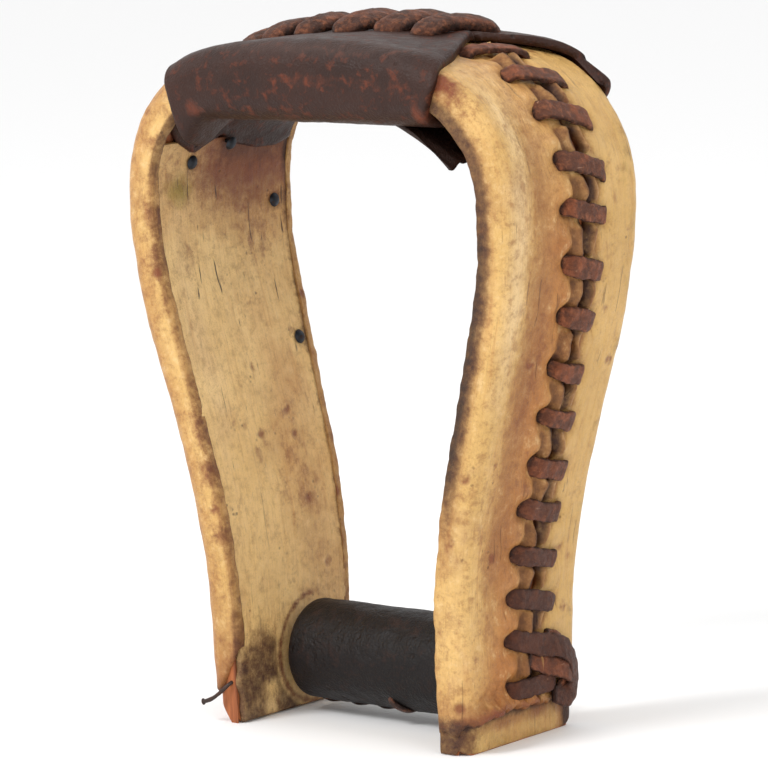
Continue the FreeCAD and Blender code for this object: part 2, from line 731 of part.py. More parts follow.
# ---- the assembly ---------------------------------------------------------------------------
def make_parts():
    envelope = make_envelope()
    wood = make_wood()
    block = make_block()
    front, back = make_covers(envelope, wood)
    liner = make_right_liner(envelope, wood)
    cover = make_tread_cover(envelope)
    right_lace = make_side_lace(RIGHT_BARS).cut(wood)
    left_lace = mirrored(make_side_lace(LEFT_BARS).cut(mirrored(wood)))
    lacing = [right_lace, left_lace]
    knot = make_right_knot().cut(right_lace)
    tread_lace = make_tread_lace()
    block_nails = make_block_nails()
    tacks = Part.makeCompound([inner_tack(y, z, LINER_IN) for y, z in LINER_TACKS])
    tongue_tack = mirrored(inner_tack(TONGUE_TACK[0], TONGUE_TACK[1], TONGUE_IN))
    bent_nail = make_bent_nail()
    roller_lace = make_roller_lace()
    all_tacks = [tacks, mirrored(tacks), tongue_tack]
    liners = [mirrored(liner), liner]

    wood = wood.cut(bolt_holes() + all_tacks + [block_nails, bent_nail])
    block = block.cut([block_nails] + all_tacks)
    hides = [front, back]
    hides = [hide.cut(lacing + [bent_nail]) for hide in hides]
    liners = [each.cut(all_tacks + bolt_holes()) for each in liners]
    washer = make_washer()
    cover = cover.cut([tread_lace, tongue_tack] + lacing + hides + liners)

    return {
        "wood_bow": wood,
        "tread_block": block.cut(liners),
        "tread_block_nails": block_nails,
        "front_hide_cover": hides[0],
        "back_hide_cover": hides[1],
        "left_liner": liners[0],
        "right_liner": liners[1],
        "left_liner_tacks": mirrored(tacks),
        "right_liner_tacks": tacks,
        "left_side_lace": left_lace,
        "right_side_lace": right_lace,
        "left_lace_knot": mirrored(knot),
        "right_lace_knot": knot,
        "tread_cover": cover,
        "tread_lace": tread_lace,
        "tread_cover_tack": tongue_tack,
        "bolt": make_bolt(),
        "bolt_nut": make_nut(),
        "left_washer": mirrored(washer),
        "right_washer": washer,
        "bent_nail": bent_nail,
        "roller_core": make_roller_core(),
        "roller_sleeve": make_roller_sleeve().cut(roller_lace),
        "roller_lace": roller_lace,
    }


os.makedirs("parts", exist_ok=True)
for name, shape in make_parts().items():
    shape.exportStep(f"parts/{name}.step")
    solids = len(shape.Solids)
    print(f"{name:20s} valid {shape.isValid()} solids {solids:3d} volume {shape.Volume:10.1f}")
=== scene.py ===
import math

import bpy
import numpy as np
from mathutils import Matrix, Vector, noise


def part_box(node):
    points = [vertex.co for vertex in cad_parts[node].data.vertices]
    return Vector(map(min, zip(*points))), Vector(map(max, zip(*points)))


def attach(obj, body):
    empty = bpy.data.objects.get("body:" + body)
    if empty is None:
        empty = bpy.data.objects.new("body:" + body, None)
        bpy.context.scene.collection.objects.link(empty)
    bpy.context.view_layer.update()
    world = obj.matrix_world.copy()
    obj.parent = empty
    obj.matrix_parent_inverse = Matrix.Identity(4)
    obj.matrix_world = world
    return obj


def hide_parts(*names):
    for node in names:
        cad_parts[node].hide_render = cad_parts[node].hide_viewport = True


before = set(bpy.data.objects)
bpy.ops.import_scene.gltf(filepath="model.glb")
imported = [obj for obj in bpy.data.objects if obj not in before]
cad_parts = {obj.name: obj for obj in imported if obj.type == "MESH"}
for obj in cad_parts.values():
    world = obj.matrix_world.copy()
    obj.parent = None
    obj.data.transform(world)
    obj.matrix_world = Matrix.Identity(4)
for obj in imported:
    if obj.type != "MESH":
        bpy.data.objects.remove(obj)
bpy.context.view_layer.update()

# A rawhide-covered bentwood saddle stirrup, tread up.  Sizes here are in mm until a mesh is
# made.  X runs across the stirrup, Y through its depth (-Y is the front), +Z is up.
MM = 0.001
UV_UNIT = 100.0         # mm to one unit of UV

# ---- the bow's shape: the same driving dimensions as the CAD part ----
LEG_OUT = 51.2
LEG_UPRIGHT = 27.5
LEAN = math.radians(14.5)
FLARE_R = 220.0
LEAN_TOP = 131.5
SHOULDER_R = 130.0
CORNER_Z = 170.0
CORNER_R = 43.0
CORNER_TURN = math.radians(81.0)
FOOT_HALF_DEPTH = 29.0
HALF_DEPTH = 35.2
TAPER_TOP = 155.5

HIDE = 2.0              # thickness of the rawhide
LEATHER = 2.8           # thickness of the tread's leather
LINER_IN = 11.8         # from the hide's outer face to the liner's inner face
RIM_R = 5.5             # rounding of a cover's outer rim, then of its inner rim
RIM_IN_R = 2.0
RIM_LIP = 1.6           # width of a cover's lip, which laps over the liner
SEAM_Y = 4.5            # the seam down the outside of each leg
SEAM_GAP = 2.2
HEM_RISE = 3.6          # height of the rolled hem at the right leg's end
TREAD_Z = 192.4         # underside of the tread's leather
TREAD_SEAM_Y = 12.0

LACE_HALF = 10.6        # half the length of a bar
LACE_W = 6.4
LACE_THICK = 2.15
LACE_DROP = 2.4         # how far above and below its middle a bar's ends lie
LACE_BARS = 15          # the topmost one is mostly under the tread's leather
LACE_FIRST = 16.9       # how far up the leg the lowest bar lies
LACE_PITCH = 13.2
LACE_SPREAD = 0.14      # the pitch grows towards the tread
LACE_SWELL = 4.0        # the bars stray upwards, most at bar 9.6
LACE_SHORT = 0.34       # the bars are shorter, most at bar 6.8

ROLLER_LEN = 70.0
SLEEVE = 2.2


# ---- small numerical helpers ----
def stacked(*parts):
    """Arrays spread over one another and set side by side along a new last axis."""
    return np.stack(np.broadcast_arrays(*parts), -1)


def hill(value, middle, width):
    """1 at the middle, falling off smoothly on both sides."""
    return np.exp(-((value - middle) / width) ** 2)


def blob(u, v, middle, size):
    return hill(u, middle[0], size[0]) * hill(v, middle[1], size[1])


def ramp(value, low, high):
    """0 below low, 1 above high, smooth in between."""
    t = np.clip((value - low) / (high - low), 0.0, 1.0)
    return t * t * (3 - 2 * t)


def fade(value, low, high):
    return 1 - ramp(value, low, high)


def lumps(points, scale, seed, octaves=2):
    """Smooth noise from -1 to 1 at points in mm; scale is the size of a lump in mm."""
    flat = np.asarray(points, float).reshape(-1, 3) / scale + seed
    found = [noise.fractal(Vector(p), 1.0, 2.0, octaves) for p in flat]
    return np.array(found).reshape(np.asarray(points).shape[:-1])


def edge_places(length, count, soft=1.2):
    """Places from 0 to length with a few close to each end, where an edge is rounded."""
    near = np.array([0.0, 0.08, 0.3, 0.62, 1.0]) * soft
    middle = np.linspace(soft, length - soft, count)[1:-1]
    return np.concatenate([near, middle, (length - near)[::-1]])


def rounded_off(distance, radius):
    """How far a surface drops within a radius of its edge."""
    inside = np.clip(radius - distance, 0, radius)
    return radius - np.sqrt(np.maximum(radius ** 2 - inside ** 2, 0))


def bar_run(index):
    """How far up the leg a lace bar lies."""
    even = LACE_FIRST + LACE_PITCH * index + LACE_SPREAD * index ** 2
    return even + LACE_SWELL * hill(index, 9.6, 2.8)


def bar_half(index):
    """Half the length of a lace bar."""
    return LACE_HALF * (1 - LACE_SHORT * hill(index, 6.8, 3.2))


# ---- the outline as its tilt at each distance up the leg ----
def outline_bends():
    """Where the tilt changes along one leg, from the floor to the crown's middle."""
    low_x = LEG_OUT + FLARE_R * (1 - math.cos(LEAN))
    low_z = LEG_UPRIGHT + FLARE_R * math.sin(LEAN)
    straight = (LEAN_TOP - low_z) / math.cos(LEAN)
    high_x = low_x + straight * math.sin(LEAN)
    widest = high_x + SHOULDER_R * (1 - math.cos(LEAN))
    upright = CORNER_Z - LEAN_TOP - SHOULDER_R * math.sin(LEAN)
    crown_x = widest - CORNER_R * (1 - math.cos(CORNER_TURN))
    crown_r = crown_x / math.cos(CORNER_TURN)
    lengths = [
        LEG_UPRIGHT, FLARE_R * LEAN, straight, SHOULDER_R * LEAN, upright,
        CORNER_R * CORNER_TURN, crown_r * (math.pi / 2 - CORNER_TURN),
    ]
    tilts = [0.0, 0.0, LEAN, LEAN, 0.0, 0.0, -CORNER_TURN, -math.pi / 2]
    return np.concatenate([[0.0], np.cumsum(lengths)]), np.array(tilts)


BEND_RUN, BEND_TILT = outline_bends()
RUN_TOP = BEND_RUN[-1]      # from the floor to the crown's middle
CORNER_RUN = BEND_RUN[5]    # from the floor to where the corner begins
OUTLINE_STEPS = 6000
DENSE_RUN = np.linspace(0.0, RUN_TOP, OUTLINE_STEPS)
DENSE_TILT = np.interp(DENSE_RUN, BEND_RUN, BEND_TILT)


def summed(values):
    """The running integral of values along the outline."""
    step = DENSE_RUN[1] - DENSE_RUN[0]
    return np.concatenate([[0.0], np.cumsum((values[1:] + values[:-1]) / 2 * step)])


DENSE_X = LEG_OUT + summed(np.sin(DENSE_TILT))
DENSE_Z = summed(np.cos(DENSE_TILT))


def outline(run):
    """x, z and the outward normal's x, z at a distance up the right leg."""
    tilt = np.interp(run, BEND_RUN, BEND_TILT)
    x = np.interp(run, DENSE_RUN, DENSE_X)
    z = np.interp(run, DENSE_RUN, DENSE_Z)
    return x, z, np.cos(tilt), -np.sin(tilt)


def half_depth(z):
    """Half the bow's depth, which tapers towards the floor."""
    return FOOT_HALF_DEPTH + (HALF_DEPTH - FOOT_HALF_DEPTH) * np.clip(z / TAPER_TOP, 0, 1)


def bow_point(s, y, height):
    """A point by its distance s from the crown's middle (+ to the right leg), its y, and its
    height above the hide's outer face."""
    x, z, nx, nz = outline(RUN_TOP - np.abs(s))
    side = np.where(s < 0, -1.0, 1.0)
    return stacked(side * (x + height * nx), y, z + height * nz)


def leg_point(side, run, y, height):
    return bow_point(side * (RUN_TOP - np.asarray(run, float)), y, height)


def run_at_height(z):
    return np.interp(z, DENSE_Z, DENSE_RUN)


# ---- meshes ----
def new_object(name, shape, finish, stands_for=None, body="stirrup"):
    """A piece from its points, faces, uv and masks.  Its finish is a slot's name, which is not
    used, and a material.  It rides on a body, and it may stand for a node of the CAD part."""
    points, faces, uv, masks = shape
    slot_name, material = finish
    mesh = bpy.data.meshes.new(name)
    mesh.from_pydata((points * MM).tolist(), [], faces)
    layer = mesh.uv_layers.new(name="UVMap")
    corners = np.zeros(len(mesh.loops), np.int32)
    mesh.loops.foreach_get("vertex_index", corners)
    layer.data.foreach_set("uv", (uv[corners] / UV_UNIT).astype(np.float32).ravel())
    for key, values in masks.items():
        store = mesh.attributes.new(key, "FLOAT", "POINT")
        store.data.foreach_set("value", values.astype(np.float32))
    mesh.polygons.foreach_set("use_smooth", [True] * len(mesh.polygons))
    mesh.materials.append(material)
    mesh.update()
    piece = bpy.data.objects.new(name, mesh)
    bpy.context.scene.collection.objects.link(piece)
    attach(piece, body)
    if stands_for:
        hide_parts(stands_for)


def grid_faces(rows, columns, start, flip=False, wrap=False):
    faces = []
    last = columns if wrap else columns - 1
    for i in range(rows - 1):
        for j in range(last):
            a = start + i * columns + j
            b = start + i * columns + (j + 1) % columns
            quad = (a, b, b + columns, a + columns)
            faces.append(quad[::-1] if flip else quad)
    return faces


def on_both(grid, masks):
    """Masks given over one grid of points, for a mesh that has the grid twice."""
    shape = grid.shape[:2]
    return {key: np.tile(np.broadcast_to(values, shape).ravel(), 2) for key, values in masks.items()}


def slab(top, bottom, uv, masks, flip=False):
    """A sheet with thickness: two grids of the same size, joined round their borders."""
    rows, columns = top.shape[:2]
    count = rows * columns
    faces = grid_faces(rows, columns, 0, flip) + grid_faces(rows, columns, count, not flip)
    ring = list(range(columns)) + [i * columns + columns - 1 for i in range(1, rows)]
    ring += [(rows - 1) * columns + j for j in range(columns - 2, -1, -1)]
    ring += [i * columns for i in range(rows - 2, 0, -1)]
    for here, there in zip(ring, ring[1:] + ring[:1]):
        quad = (here, here + count, there + count, there)
        faces.append(quad[::-1] if flip else quad)
    points = np.concatenate([top.reshape(-1, 3), bottom.reshape(-1, 3)])
    return points, faces, np.tile(uv.reshape(-1, 2), (2, 1)), on_both(top, masks)


def smooth_path(points, count):
    """A Catmull-Rom curve through given points."""
    points = np.asarray(points, float)
    padded = np.concatenate([[2 * points[0] - points[1]], points, [2 * points[-1] - points[-2]]])
    spans = len(points) - 1
    t = np.linspace(0, spans, count)
    index = np.minimum(t.astype(int), spans - 1)
    f = (t - index)[:, None]
    p0, p1, p2, p3 = (padded[index + k] for k in range(4))
    return 0.5 * (2 * p1 + (p2 - p0) * f + (2 * p0 - 5 * p1 + 4 * p2 - p3) * f ** 2
                  + (3 * p1 - p0 - 3 * p2 + p3) * f ** 3)


def unit(vectors):
    return vectors / np.maximum(np.linalg.norm(vectors, axis=-1, keepdims=True), 1e-9)


def strap_mesh(path, up, width, thick, square, around, rough, seed):
    """A strap swept along a path.  up, width and thick may be single values or one for each
    point of the path; square is how boxy its section is, and rough how lumpy it is in mm."""
    count = len(path)
    along = unit(np.gradient(path, axis=0))
    up = np.broadcast_to(np.asarray(up, float), path.shape)
    across = unit(np.cross(up, along))
    up = np.cross(along, across)
    turn = np.linspace(0, 2 * math.pi, around, endpoint=False)
    cosine, sine = np.cos(turn), np.sin(turn)
    wide = np.sign(cosine) * np.abs(cosine) ** (2 / square)
    high = np.sign(sine) * np.abs(sine) ** (2 / square)
    offset_w = wide[None, :] * np.broadcast_to(width, count)[:, None] / 2
    offset_h = high[None, :] * np.broadcast_to(thick, count)[:, None] / 2
    offset = across[:, None, :] * offset_w[..., None] + up[:, None, :] * offset_h[..., None]
    points = path[:, None, :] + offset
    points = points + unit(offset) * (lumps(points, 2.6, seed) * rough)[..., None]
    run = np.concatenate([[0], np.cumsum(np.linalg.norm(np.diff(path, axis=0), axis=1))])
    # each strap has its own stretch of UV, so that no two have the same grain
    uv = stacked(offset_w + seed * 37.0, run[:, None] + seed * 53.0)
    ends = np.minimum(run, run[-1] - run)[:, None]
    masks = {"edge": np.abs(wide)[None, :] ** 2, "tip": 1 - ramp(ends, 0.5, 3.0)}
    flat = {key: np.broadcast_to(values, (count, around)).ravel() for key, values in masks.items()}
    faces = grid_faces(count, around, 0, wrap=True)
    faces.append(tuple(range(around))[::-1])
    faces.append(tuple((count - 1) * around + j for j in range(around)))
    return points.reshape(-1, 3), faces, uv.reshape(-1, 2), flat


def painted(part, mask, level):
    """The same mesh with one mask at the same level everywhere."""
    part[3][mask] = np.full(len(part[0]), level)
    return part


def merged(parts):
    """One mesh from several of the same kind."""
    faces, start = [], 0
    for part in parts:
        faces += [tuple(start + corner for corner in face) for face in part[1]]
        start += len(part[0])
    masks = {key: np.concatenate([part[3][key] for part in parts]) for key in parts[0][3]}
    return (np.concatenate([part[0] for part in parts]), faces,
            np.concatenate([part[2] for part in parts]), masks)


def on_side(part, side):
    """A mesh made for the right side, as it is or mirrored to the left."""
    if side > 0:
        return part
    points = part[0] * np.array([-1.0, 1.0, 1.0])
    return points, [face[::-1] for face in part[1]], part[2], part[3]


# ---- materials ----
def srgb(red, green, blue):
    linear = []
    for value in (red, green, blue):
        c = value / 255
        linear.append(c / 12.92 if c <= 0.04045 else ((c + 0.055) / 1.055) ** 2.4)
    return (*linear, 1.0)


class Paint:
    """One material.  Each method adds nodes and returns the output that they are read from."""

    def __init__(self, name):
        self.name = name
        self.material = bpy.data.materials.new(name)
        self.material.use_nodes = True
        self.nodes = self.material.node_tree.nodes
        self.links = self.material.node_tree.links
        self.shader = self.nodes["Principled BSDF"]

    def add(self, kind, inputs=(), **settings):
        node = self.nodes.new(kind)
        for key, value in settings.items():
            setattr(node, key, value)
        for key, value in dict(inputs).items():
            if isinstance(value, bpy.types.NodeSocket):
                self.links.new(value, node.inputs[key])
            else:
                node.inputs[key].default_value = value
        return node

    def place(self, source, scale=(1, 1, 1), offset=0.0):
        coordinates = self.add("ShaderNodeTexCoord")
        inputs = {"Vector": coordinates.outputs[source], "Scale": scale,
                  "Location": (offset, offset * 1.7, offset * 0.6)}
        return self.add("ShaderNodeMapping", inputs).outputs["Vector"]

    def noise(self, where, scale, detail=4.0, rough=0.55, warp=0.0):
        inputs = {"Vector": where, "Scale": scale, "Detail": detail, "Roughness": rough,
                  "Distortion": warp}
        return self.add("ShaderNodeTexNoise", inputs).outputs["Fac"]

    def cells(self, where, scale, feature="F1"):
        inputs = {"Vector": where, "Scale": scale}
        return self.add("ShaderNodeTexVoronoi", inputs, feature=feature).outputs["Distance"]

    def mask(self, name):
        return self.add("ShaderNodeAttribute", attribute_name=name).outputs["Fac"]

    def math(self, operation, a, b=0.0):
        return self.add("ShaderNodeMath", {0: a, 1: b}, operation=operation).outputs[0]

    def steps(self, value, low, high, out_low=0.0, out_high=1.0):
        inputs = {"Value": value, "From Min": low, "From Max": high, "To Min": out_low,
                  "To Max": out_high}
        return self.add("ShaderNodeMapRange", inputs, clamp=True).outputs["Result"]

    def times(self, a, b):
        return self.math("MULTIPLY", a, b)

    def total(self, *parts):
        """The sum of outputs, each with its weight."""
        value = 0.0
        for output, weight in parts:
            inputs = {0: output, 1: weight, 2: value}
            value = self.add("ShaderNodeMath", inputs, operation="MULTIPLY_ADD").outputs[0]
        return value

    def broken(self, mask, speckle, low, high, amount):
        """A placed mask with its edge broken up by noise."""
        inputs = {0: speckle, 1: amount, 2: -amount / 2}
        shifted = self.add("ShaderNodeMath", inputs, operation="MULTIPLY_ADD").outputs[0]
        return self.steps(self.math("ADD", self.mask(mask), shifted), low, high)

    def mix(self, share, first, second):
        node = self.add("ShaderNodeMix", data_type="RGBA")
        for index, value in ((0, share), (6, first), (7, second)):
            if isinstance(value, bpy.types.NodeSocket):
                self.links.new(value, node.inputs[index])
            else:
                node.inputs[index].default_value = value
        return node.outputs[2]

    def coats(self, colour, *layers):
        """Colours laid over one another, each given as where it lies and what it is."""
        for share, coat in layers:
            colour = self.mix(share, colour, coat)
        return colour

    def finish(self, colour, rough, height, depth_mm, strength, **fixed):
        self.links.new(colour, self.shader.inputs["Base Color"])
        self.links.new(rough, self.shader.inputs["Roughness"])
        inputs = {"Height": height, "Distance": depth_mm * MM, "Strength": strength}
        bump = self.add("ShaderNodeBump", inputs)
        self.links.new(bump.outputs["Normal"], self.shader.inputs["Normal"])
        for key, value in fixed.items():
            self.shader.inputs[key.replace("_", " ")].default_value = value
        return self.name, self.material


STRAW = srgb(222, 180, 112)
KHAKI = srgb(208, 166, 98)
PALE_STRAW = srgb(240, 204, 140)
PALE_KHAKI = srgb(230, 192, 126)
TAN = srgb(180, 118, 60)
CREAM = srgb(236, 202, 148)
BROWN = srgb(142, 90, 48)
RUST = srgb(122, 62, 34)
UMBER = srgb(66, 40, 28)
SOOT_AND_SHADE = srgb(40, 27, 22)
OLIVE = srgb(158, 134, 58)
SCUFF = srgb(190, 118, 78)
GRIME = srgb(58, 34, 28)
SCRATCH = srgb(196, 150, 118)


def hide_material(name, offset, khaki, straw):
    """Old rawhide: pale and glassy, stained where hands, sweat and iron have been.  Its masks also
    lay on painted highlights and painted shade.
    """
    p = Paint(name)
    body = p.place("Object", offset=offset)
    strand = p.place("UV", (1.0, 0.08, 1.0), offset)
    broad = p.noise(body, 16.0, 3.0, 0.55, 0.6)
    cloud = p.noise(body, 46.0, 6.0, 0.65, 0.5)
    mottle = p.noise(body, 105.0, 8.0, 0.7, 0.4)
    fine = p.noise(body, 420.0, 5.0, 0.65, 0.3)
    pore = p.noise(body, 1500.0, 3.0, 0.6)
    streak = p.noise(strand, 110.0, 5.0, 0.65, 0.35)
    crease = p.noise(strand, 38.0, 4.0, 0.6, 0.5)
    crack = p.noise(strand, 62.0, 2.0, 0.5, 0.6)
    grit = p.noise(body, 250.0, 8.0, 0.74, 0.1)
    rare = p.noise(body, 60.0, 4.0, 0.65)

    lively = p.math("SUBTRACT", 1.0, p.mask("calm"))
    blots = p.times(p.steps(mottle, 0.54, 0.66), p.steps(rare, 0.5, 0.62))
    dots = p.times(p.steps(p.cells(body, 300.0), 0.2, 0.05), p.steps(rare, 0.52, 0.64))
    spots = p.times(p.steps(p.cells(body, 105.0), 0.27, 0.13), p.steps(rare, 0.52, 0.6))
    flecks = p.times(p.steps(crack, 0.69, 0.73), p.mask("fleck"))
    colour = p.coats(
        khaki,
        (p.steps(broad, 0.38, 0.62), straw),
        (p.broken("tan", mottle, 0.1, 1.0, 0.9), TAN),
        # paler cream hide, and painted highlights down the right leg's front rim
        (p.broken("cream_and_highlight", mottle, 0.2, 1.0, 1.0), CREAM),
        (p.times(p.steps(cloud, 0.5, 0.72, 0.0, 0.42), lively), BROWN),
        (p.times(p.steps(grit, 0.5, 0.64, 0.0, 0.5), lively), BROWN),
        (p.times(p.steps(grit, 0.45, 0.34, 0.0, 0.45), lively), CREAM),
        (p.steps(streak, 0.52, 0.74, 0.0, 0.3), BROWN),
        (p.steps(crease, 0.55, 0.72, 0.0, 0.3), TAN),
        (p.times(blots, 0.5), RUST),
        (p.broken("olive", mottle, 0.3, 0.9, 1.2), OLIVE),
        # brown, dark and the sooty layer below carry stains, and also painted shade in the seam's
        # gap, beside the seam, round the lace holes, in the dips of the relief and under the hem
        (p.broken("brown", grit, 0.08, 1.05, 0.9), BROWN),
        (p.broken("red", grit, 0.32, 1.05, 1.5), RUST),
        (p.broken("dark", grit, 0.28, 1.05, 1.2), UMBER),
        (p.broken("soot_and_shade", mottle, 0.35, 1.0, 1.2), SOOT_AND_SHADE),
        (p.times(dots, 0.7), UMBER),
        (p.times(spots, 0.8), RUST),
        (p.times(flecks, 0.75), UMBER),
        (p.steps(fine, 0.55, 0.75, 0.0, 0.3), BROWN),
        (p.steps(pore, 0.6, 0.78, 0.0, 0.3), UMBER))
    rough = p.steps(p.math("ADD", mottle, p.mask("dark")), 0.3, 1.2, 0.3, 0.6)
    height = p.total((mottle, 0.9), (streak, 0.55), (crease, 0.6), (flecks, -0.8), (dots, -0.5),
                     (grit, 0.9), (spots, -0.5), (fine, 0.3), (pore, 0.12))
    return p.finish(colour, rough, height, 1.0, 0.85, Specular_IOR_Level=0.34)


def leather_material(name, base, worn, painted_sheen_colour, offset, rough_range):
    """Old saddle leather: creased, rubbed back to a redder brown where it is touched.  Its masks
    also lay on a painted sheen, which is a painted highlight, and painted shade.
    """
    p = Paint(name)
    body = p.place("Object", offset=offset)
    cloud = p.noise(body, 45.0, 5.0, 0.6, 0.5)
    fine = p.noise(body, 260.0, 6.0, 0.65, 0.2)
    grain = p.cells(body, 1250.0)
    rare = p.noise(body, 60.0, 3.0, 0.6)
    pits = p.times(p.steps(p.cells(body, 190.0), 0.2, 0.05), p.steps(rare, 0.54, 0.62))
    shade = tuple(channel * 0.6 for channel in base[:3]) + (1.0,)
    colour = p.coats(
        base,
        (p.steps(cloud, 0.35, 0.68), shade),
        (p.broken("worn", fine, 0.32, 1.0, 1.2), worn),
        (p.steps(fine, 0.54, 0.74, 0.0, 0.7), worn),
        # painted highlight
        (p.broken("painted_sheen", fine, 0.3, 1.0, 0.8), painted_sheen_colour),
        (p.times(pits, 0.8), SOOT_AND_SHADE),
        # sooty leather, and painted shade on the tongues, along the underside, in the seam on top and
        # at the roller's ends
        (p.broken("soot_and_shade", fine, 0.35, 0.8, 0.8), SOOT_AND_SHADE))
    rough = p.steps(fine, 0.3, 0.75, *rough_range)
    height = p.total((fine, 1.0), (grain, 0.2), (cloud, 1.2), (pits, -1.0))
    return p.finish(colour, rough, height, 0.8, 0.85, Specular_IOR_Level=0.26)


def thong_material(name, base, middle, rim, offset):
    """A cut thong: reddish along its middle, dark along its cut edges, scuffed all over."""
    p = Paint(name)
    body = p.place("Object", offset=offset)
    fine = p.noise(body, 330.0, 6.0, 0.65, 0.3)
    cloud = p.noise(body, 120.0, 4.0, 0.6)
    fibre = p.noise(p.place("UV", (1.0, 0.25, 1.0), offset), 140.0, 4.0, 0.6)
    scratch = p.noise(p.place("Object", (1.0, 0.35, 1.6), offset + 3), 700.0, 2.0, 0.5, 0.8)
    scuff = p.noise(body, 480.0, 7.0, 0.74, 0.2)
    colour = p.coats(
        base,
        (p.steps(cloud, 0.44, 0.64), middle),
        (p.steps(fibre, 0.55, 0.75, 0.0, 0.5), rim),
        (p.broken("edge", fine, 0.72, 1.15, 0.8), rim),
        # dark at each thong's ends; on the roller's stitches, which get it nearly all over, it is
        # painted shade
        (p.broken("tip", fine, 0.5, 1.05, 0.7), SOOT_AND_SHADE),
        (p.steps(scuff, 0.5, 0.68, 0.0, 0.45), SCUFF),
        (p.steps(scuff, 0.44, 0.34, 0.0, 0.45), UMBER),
        (p.broken("grimy", cloud, 0.1, 1.1, 0.5), GRIME),
        (p.steps(scratch, 0.73, 0.78, 0.0, 0.6), SCRATCH))
    rough = p.steps(fine, 0.3, 0.7, 0.42, 0.68)
    height = p.total((fine, 1.0), (fibre, 0.6), (cloud, 1.2), (scuff, 1.5))
    return p.finish(colour, rough, height, 1.1, 0.9, Specular_IOR_Level=0.3)


def wood_material(name, pale, dark, axis_scale, offset):
    """Bare, oiled wood: long grain with darker lines."""
    p = Paint(name)
    lines = p.noise(p.place("Object", axis_scale, offset), 420.0, 6.0, 0.65, 0.6)
    cloud = p.noise(p.place("Object", offset=offset), 60.0, 4.0, 0.6)
    colour = p.coats(pale, (p.steps(lines, 0.35, 0.68), dark),
                     (p.steps(cloud, 0.55, 0.75, 0.0, 0.6), UMBER))
    rough = p.steps(lines, 0.3, 0.7, 0.5, 0.75)
    return p.finish(colour, rough, lines, 0.3, 0.6, Specular_IOR_Level=0.35)


def iron_material(name, base, rust, metallic, offset):
    """Forged iron or steel with a skin of old rust."""
    p = Paint(name)
    body = p.place("Object", offset=offset)
    spots = p.noise(body, 520.0, 6.0, 0.7, 0.3)
    fine = p.noise(body, 2200.0, 3.0, 0.6)
    colour = p.mix(p.steps(spots, 0.52, 0.68), base, rust)
    rough = p.steps(spots, 0.35, 0.7, 0.32, 0.7)
    height = p.total((spots, 1.0), (fine, 0.4))
    return p.finish(colour, rough, height, 0.15, 0.6, Metallic=metallic)


RAWHIDE = hide_material("rawhide", 0.0, KHAKI, STRAW)
LINER_HIDE = hide_material("liner_rawhide", 4.0, PALE_KHAKI, PALE_STRAW)
TREAD_LEATHER = leather_material("tread_leather", srgb(54, 29, 20), srgb(112, 54, 32),
                                 srgb(84, 66, 60), 0.0, (0.38, 0.66))
ROLLER_LEATHER = leather_material("roller_leather", srgb(21, 14, 13), srgb(50, 31, 24),
                                  srgb(48, 40, 38), 7.0, (0.42, 0.64))
SIDE_THONG = thong_material("lace_leather", srgb(98, 57, 39), srgb(138, 77, 48),
                            srgb(34, 21, 16), 0.0)
TREAD_THONG = thong_material("tread_lace_leather", srgb(74, 43, 30), srgb(108, 62, 42),
                             srgb(38, 23, 17), 5.0)
BOW_WOOD = wood_material("bow_wood", srgb(178, 104, 58), srgb(112, 60, 34), (1, 1, 0.08), 0.0)
CORE_WOOD = wood_material("roller_wood", srgb(150, 104, 66), srgb(92, 60, 38), (0.08, 1, 1), 2.0)
TACK_IRON = iron_material("tack_iron", srgb(46, 50, 56), srgb(58, 40, 32), 0.75, 0.0)
NAIL_IRON = iron_material("nail_iron", srgb(62, 50, 46), srgb(92, 56, 40), 0.6, 1.0)
BOLT_STEEL = iron_material("bolt_steel", srgb(118, 112, 106), srgb(96, 60, 42), 0.85, 2.0)

# ---- CAD nodes that are shown as they are, each with its own finish ----
KEPT = {
    "wood_bow": BOW_WOOD,
    "tread_block": BOW_WOOD,
    "tread_block_nails": NAIL_IRON,
    "left_liner_tacks": TACK_IRON,
    "right_liner_tacks": TACK_IRON,
    "tread_cover_tack": TACK_IRON,
    "bolt": BOLT_STEEL,
    "bolt_nut": BOLT_STEEL,
    "left_washer": BOLT_STEEL,
    "right_washer": BOLT_STEEL,
    "roller_core": CORE_WOOD,
}


def finish_kept_nodes():
    for name, (_, material) in KEPT.items():
        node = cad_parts[name]
        if not node.material_slots:
            node.data.materials.append(material)
        for place in node.material_slots:
            place.material = material


# ---- the two hide covers ----
def creases(points):
    """Long shallow wrinkles that run with the leg."""
    drawn = points * np.array([1.0, 1.0, 0.11])
    return -0.3 * np.clip(lumps(drawn, 2.6, 15.0, 3) - 0.12, 0, 1)


def between_bars(run):
    """1 between two bars, falling to 0 under them."""
    open_hide = np.zeros(np.shape(run))
    for index in range(LACE_BARS):
        here = bar_run(index)
        reach = (bar_run(index + 1) - here) / 2
        open_hide = open_hide + 1 - ramp(np.abs(run - here - reach), reach - 4.4, reach - 1.6)
    return open_hide


def seam_weave(run):
    """How far the seam strays from its line."""
    return 0.75 * np.sin(run / 5.3) + 0.5 * np.sin(run / 2.1 + 1.0)


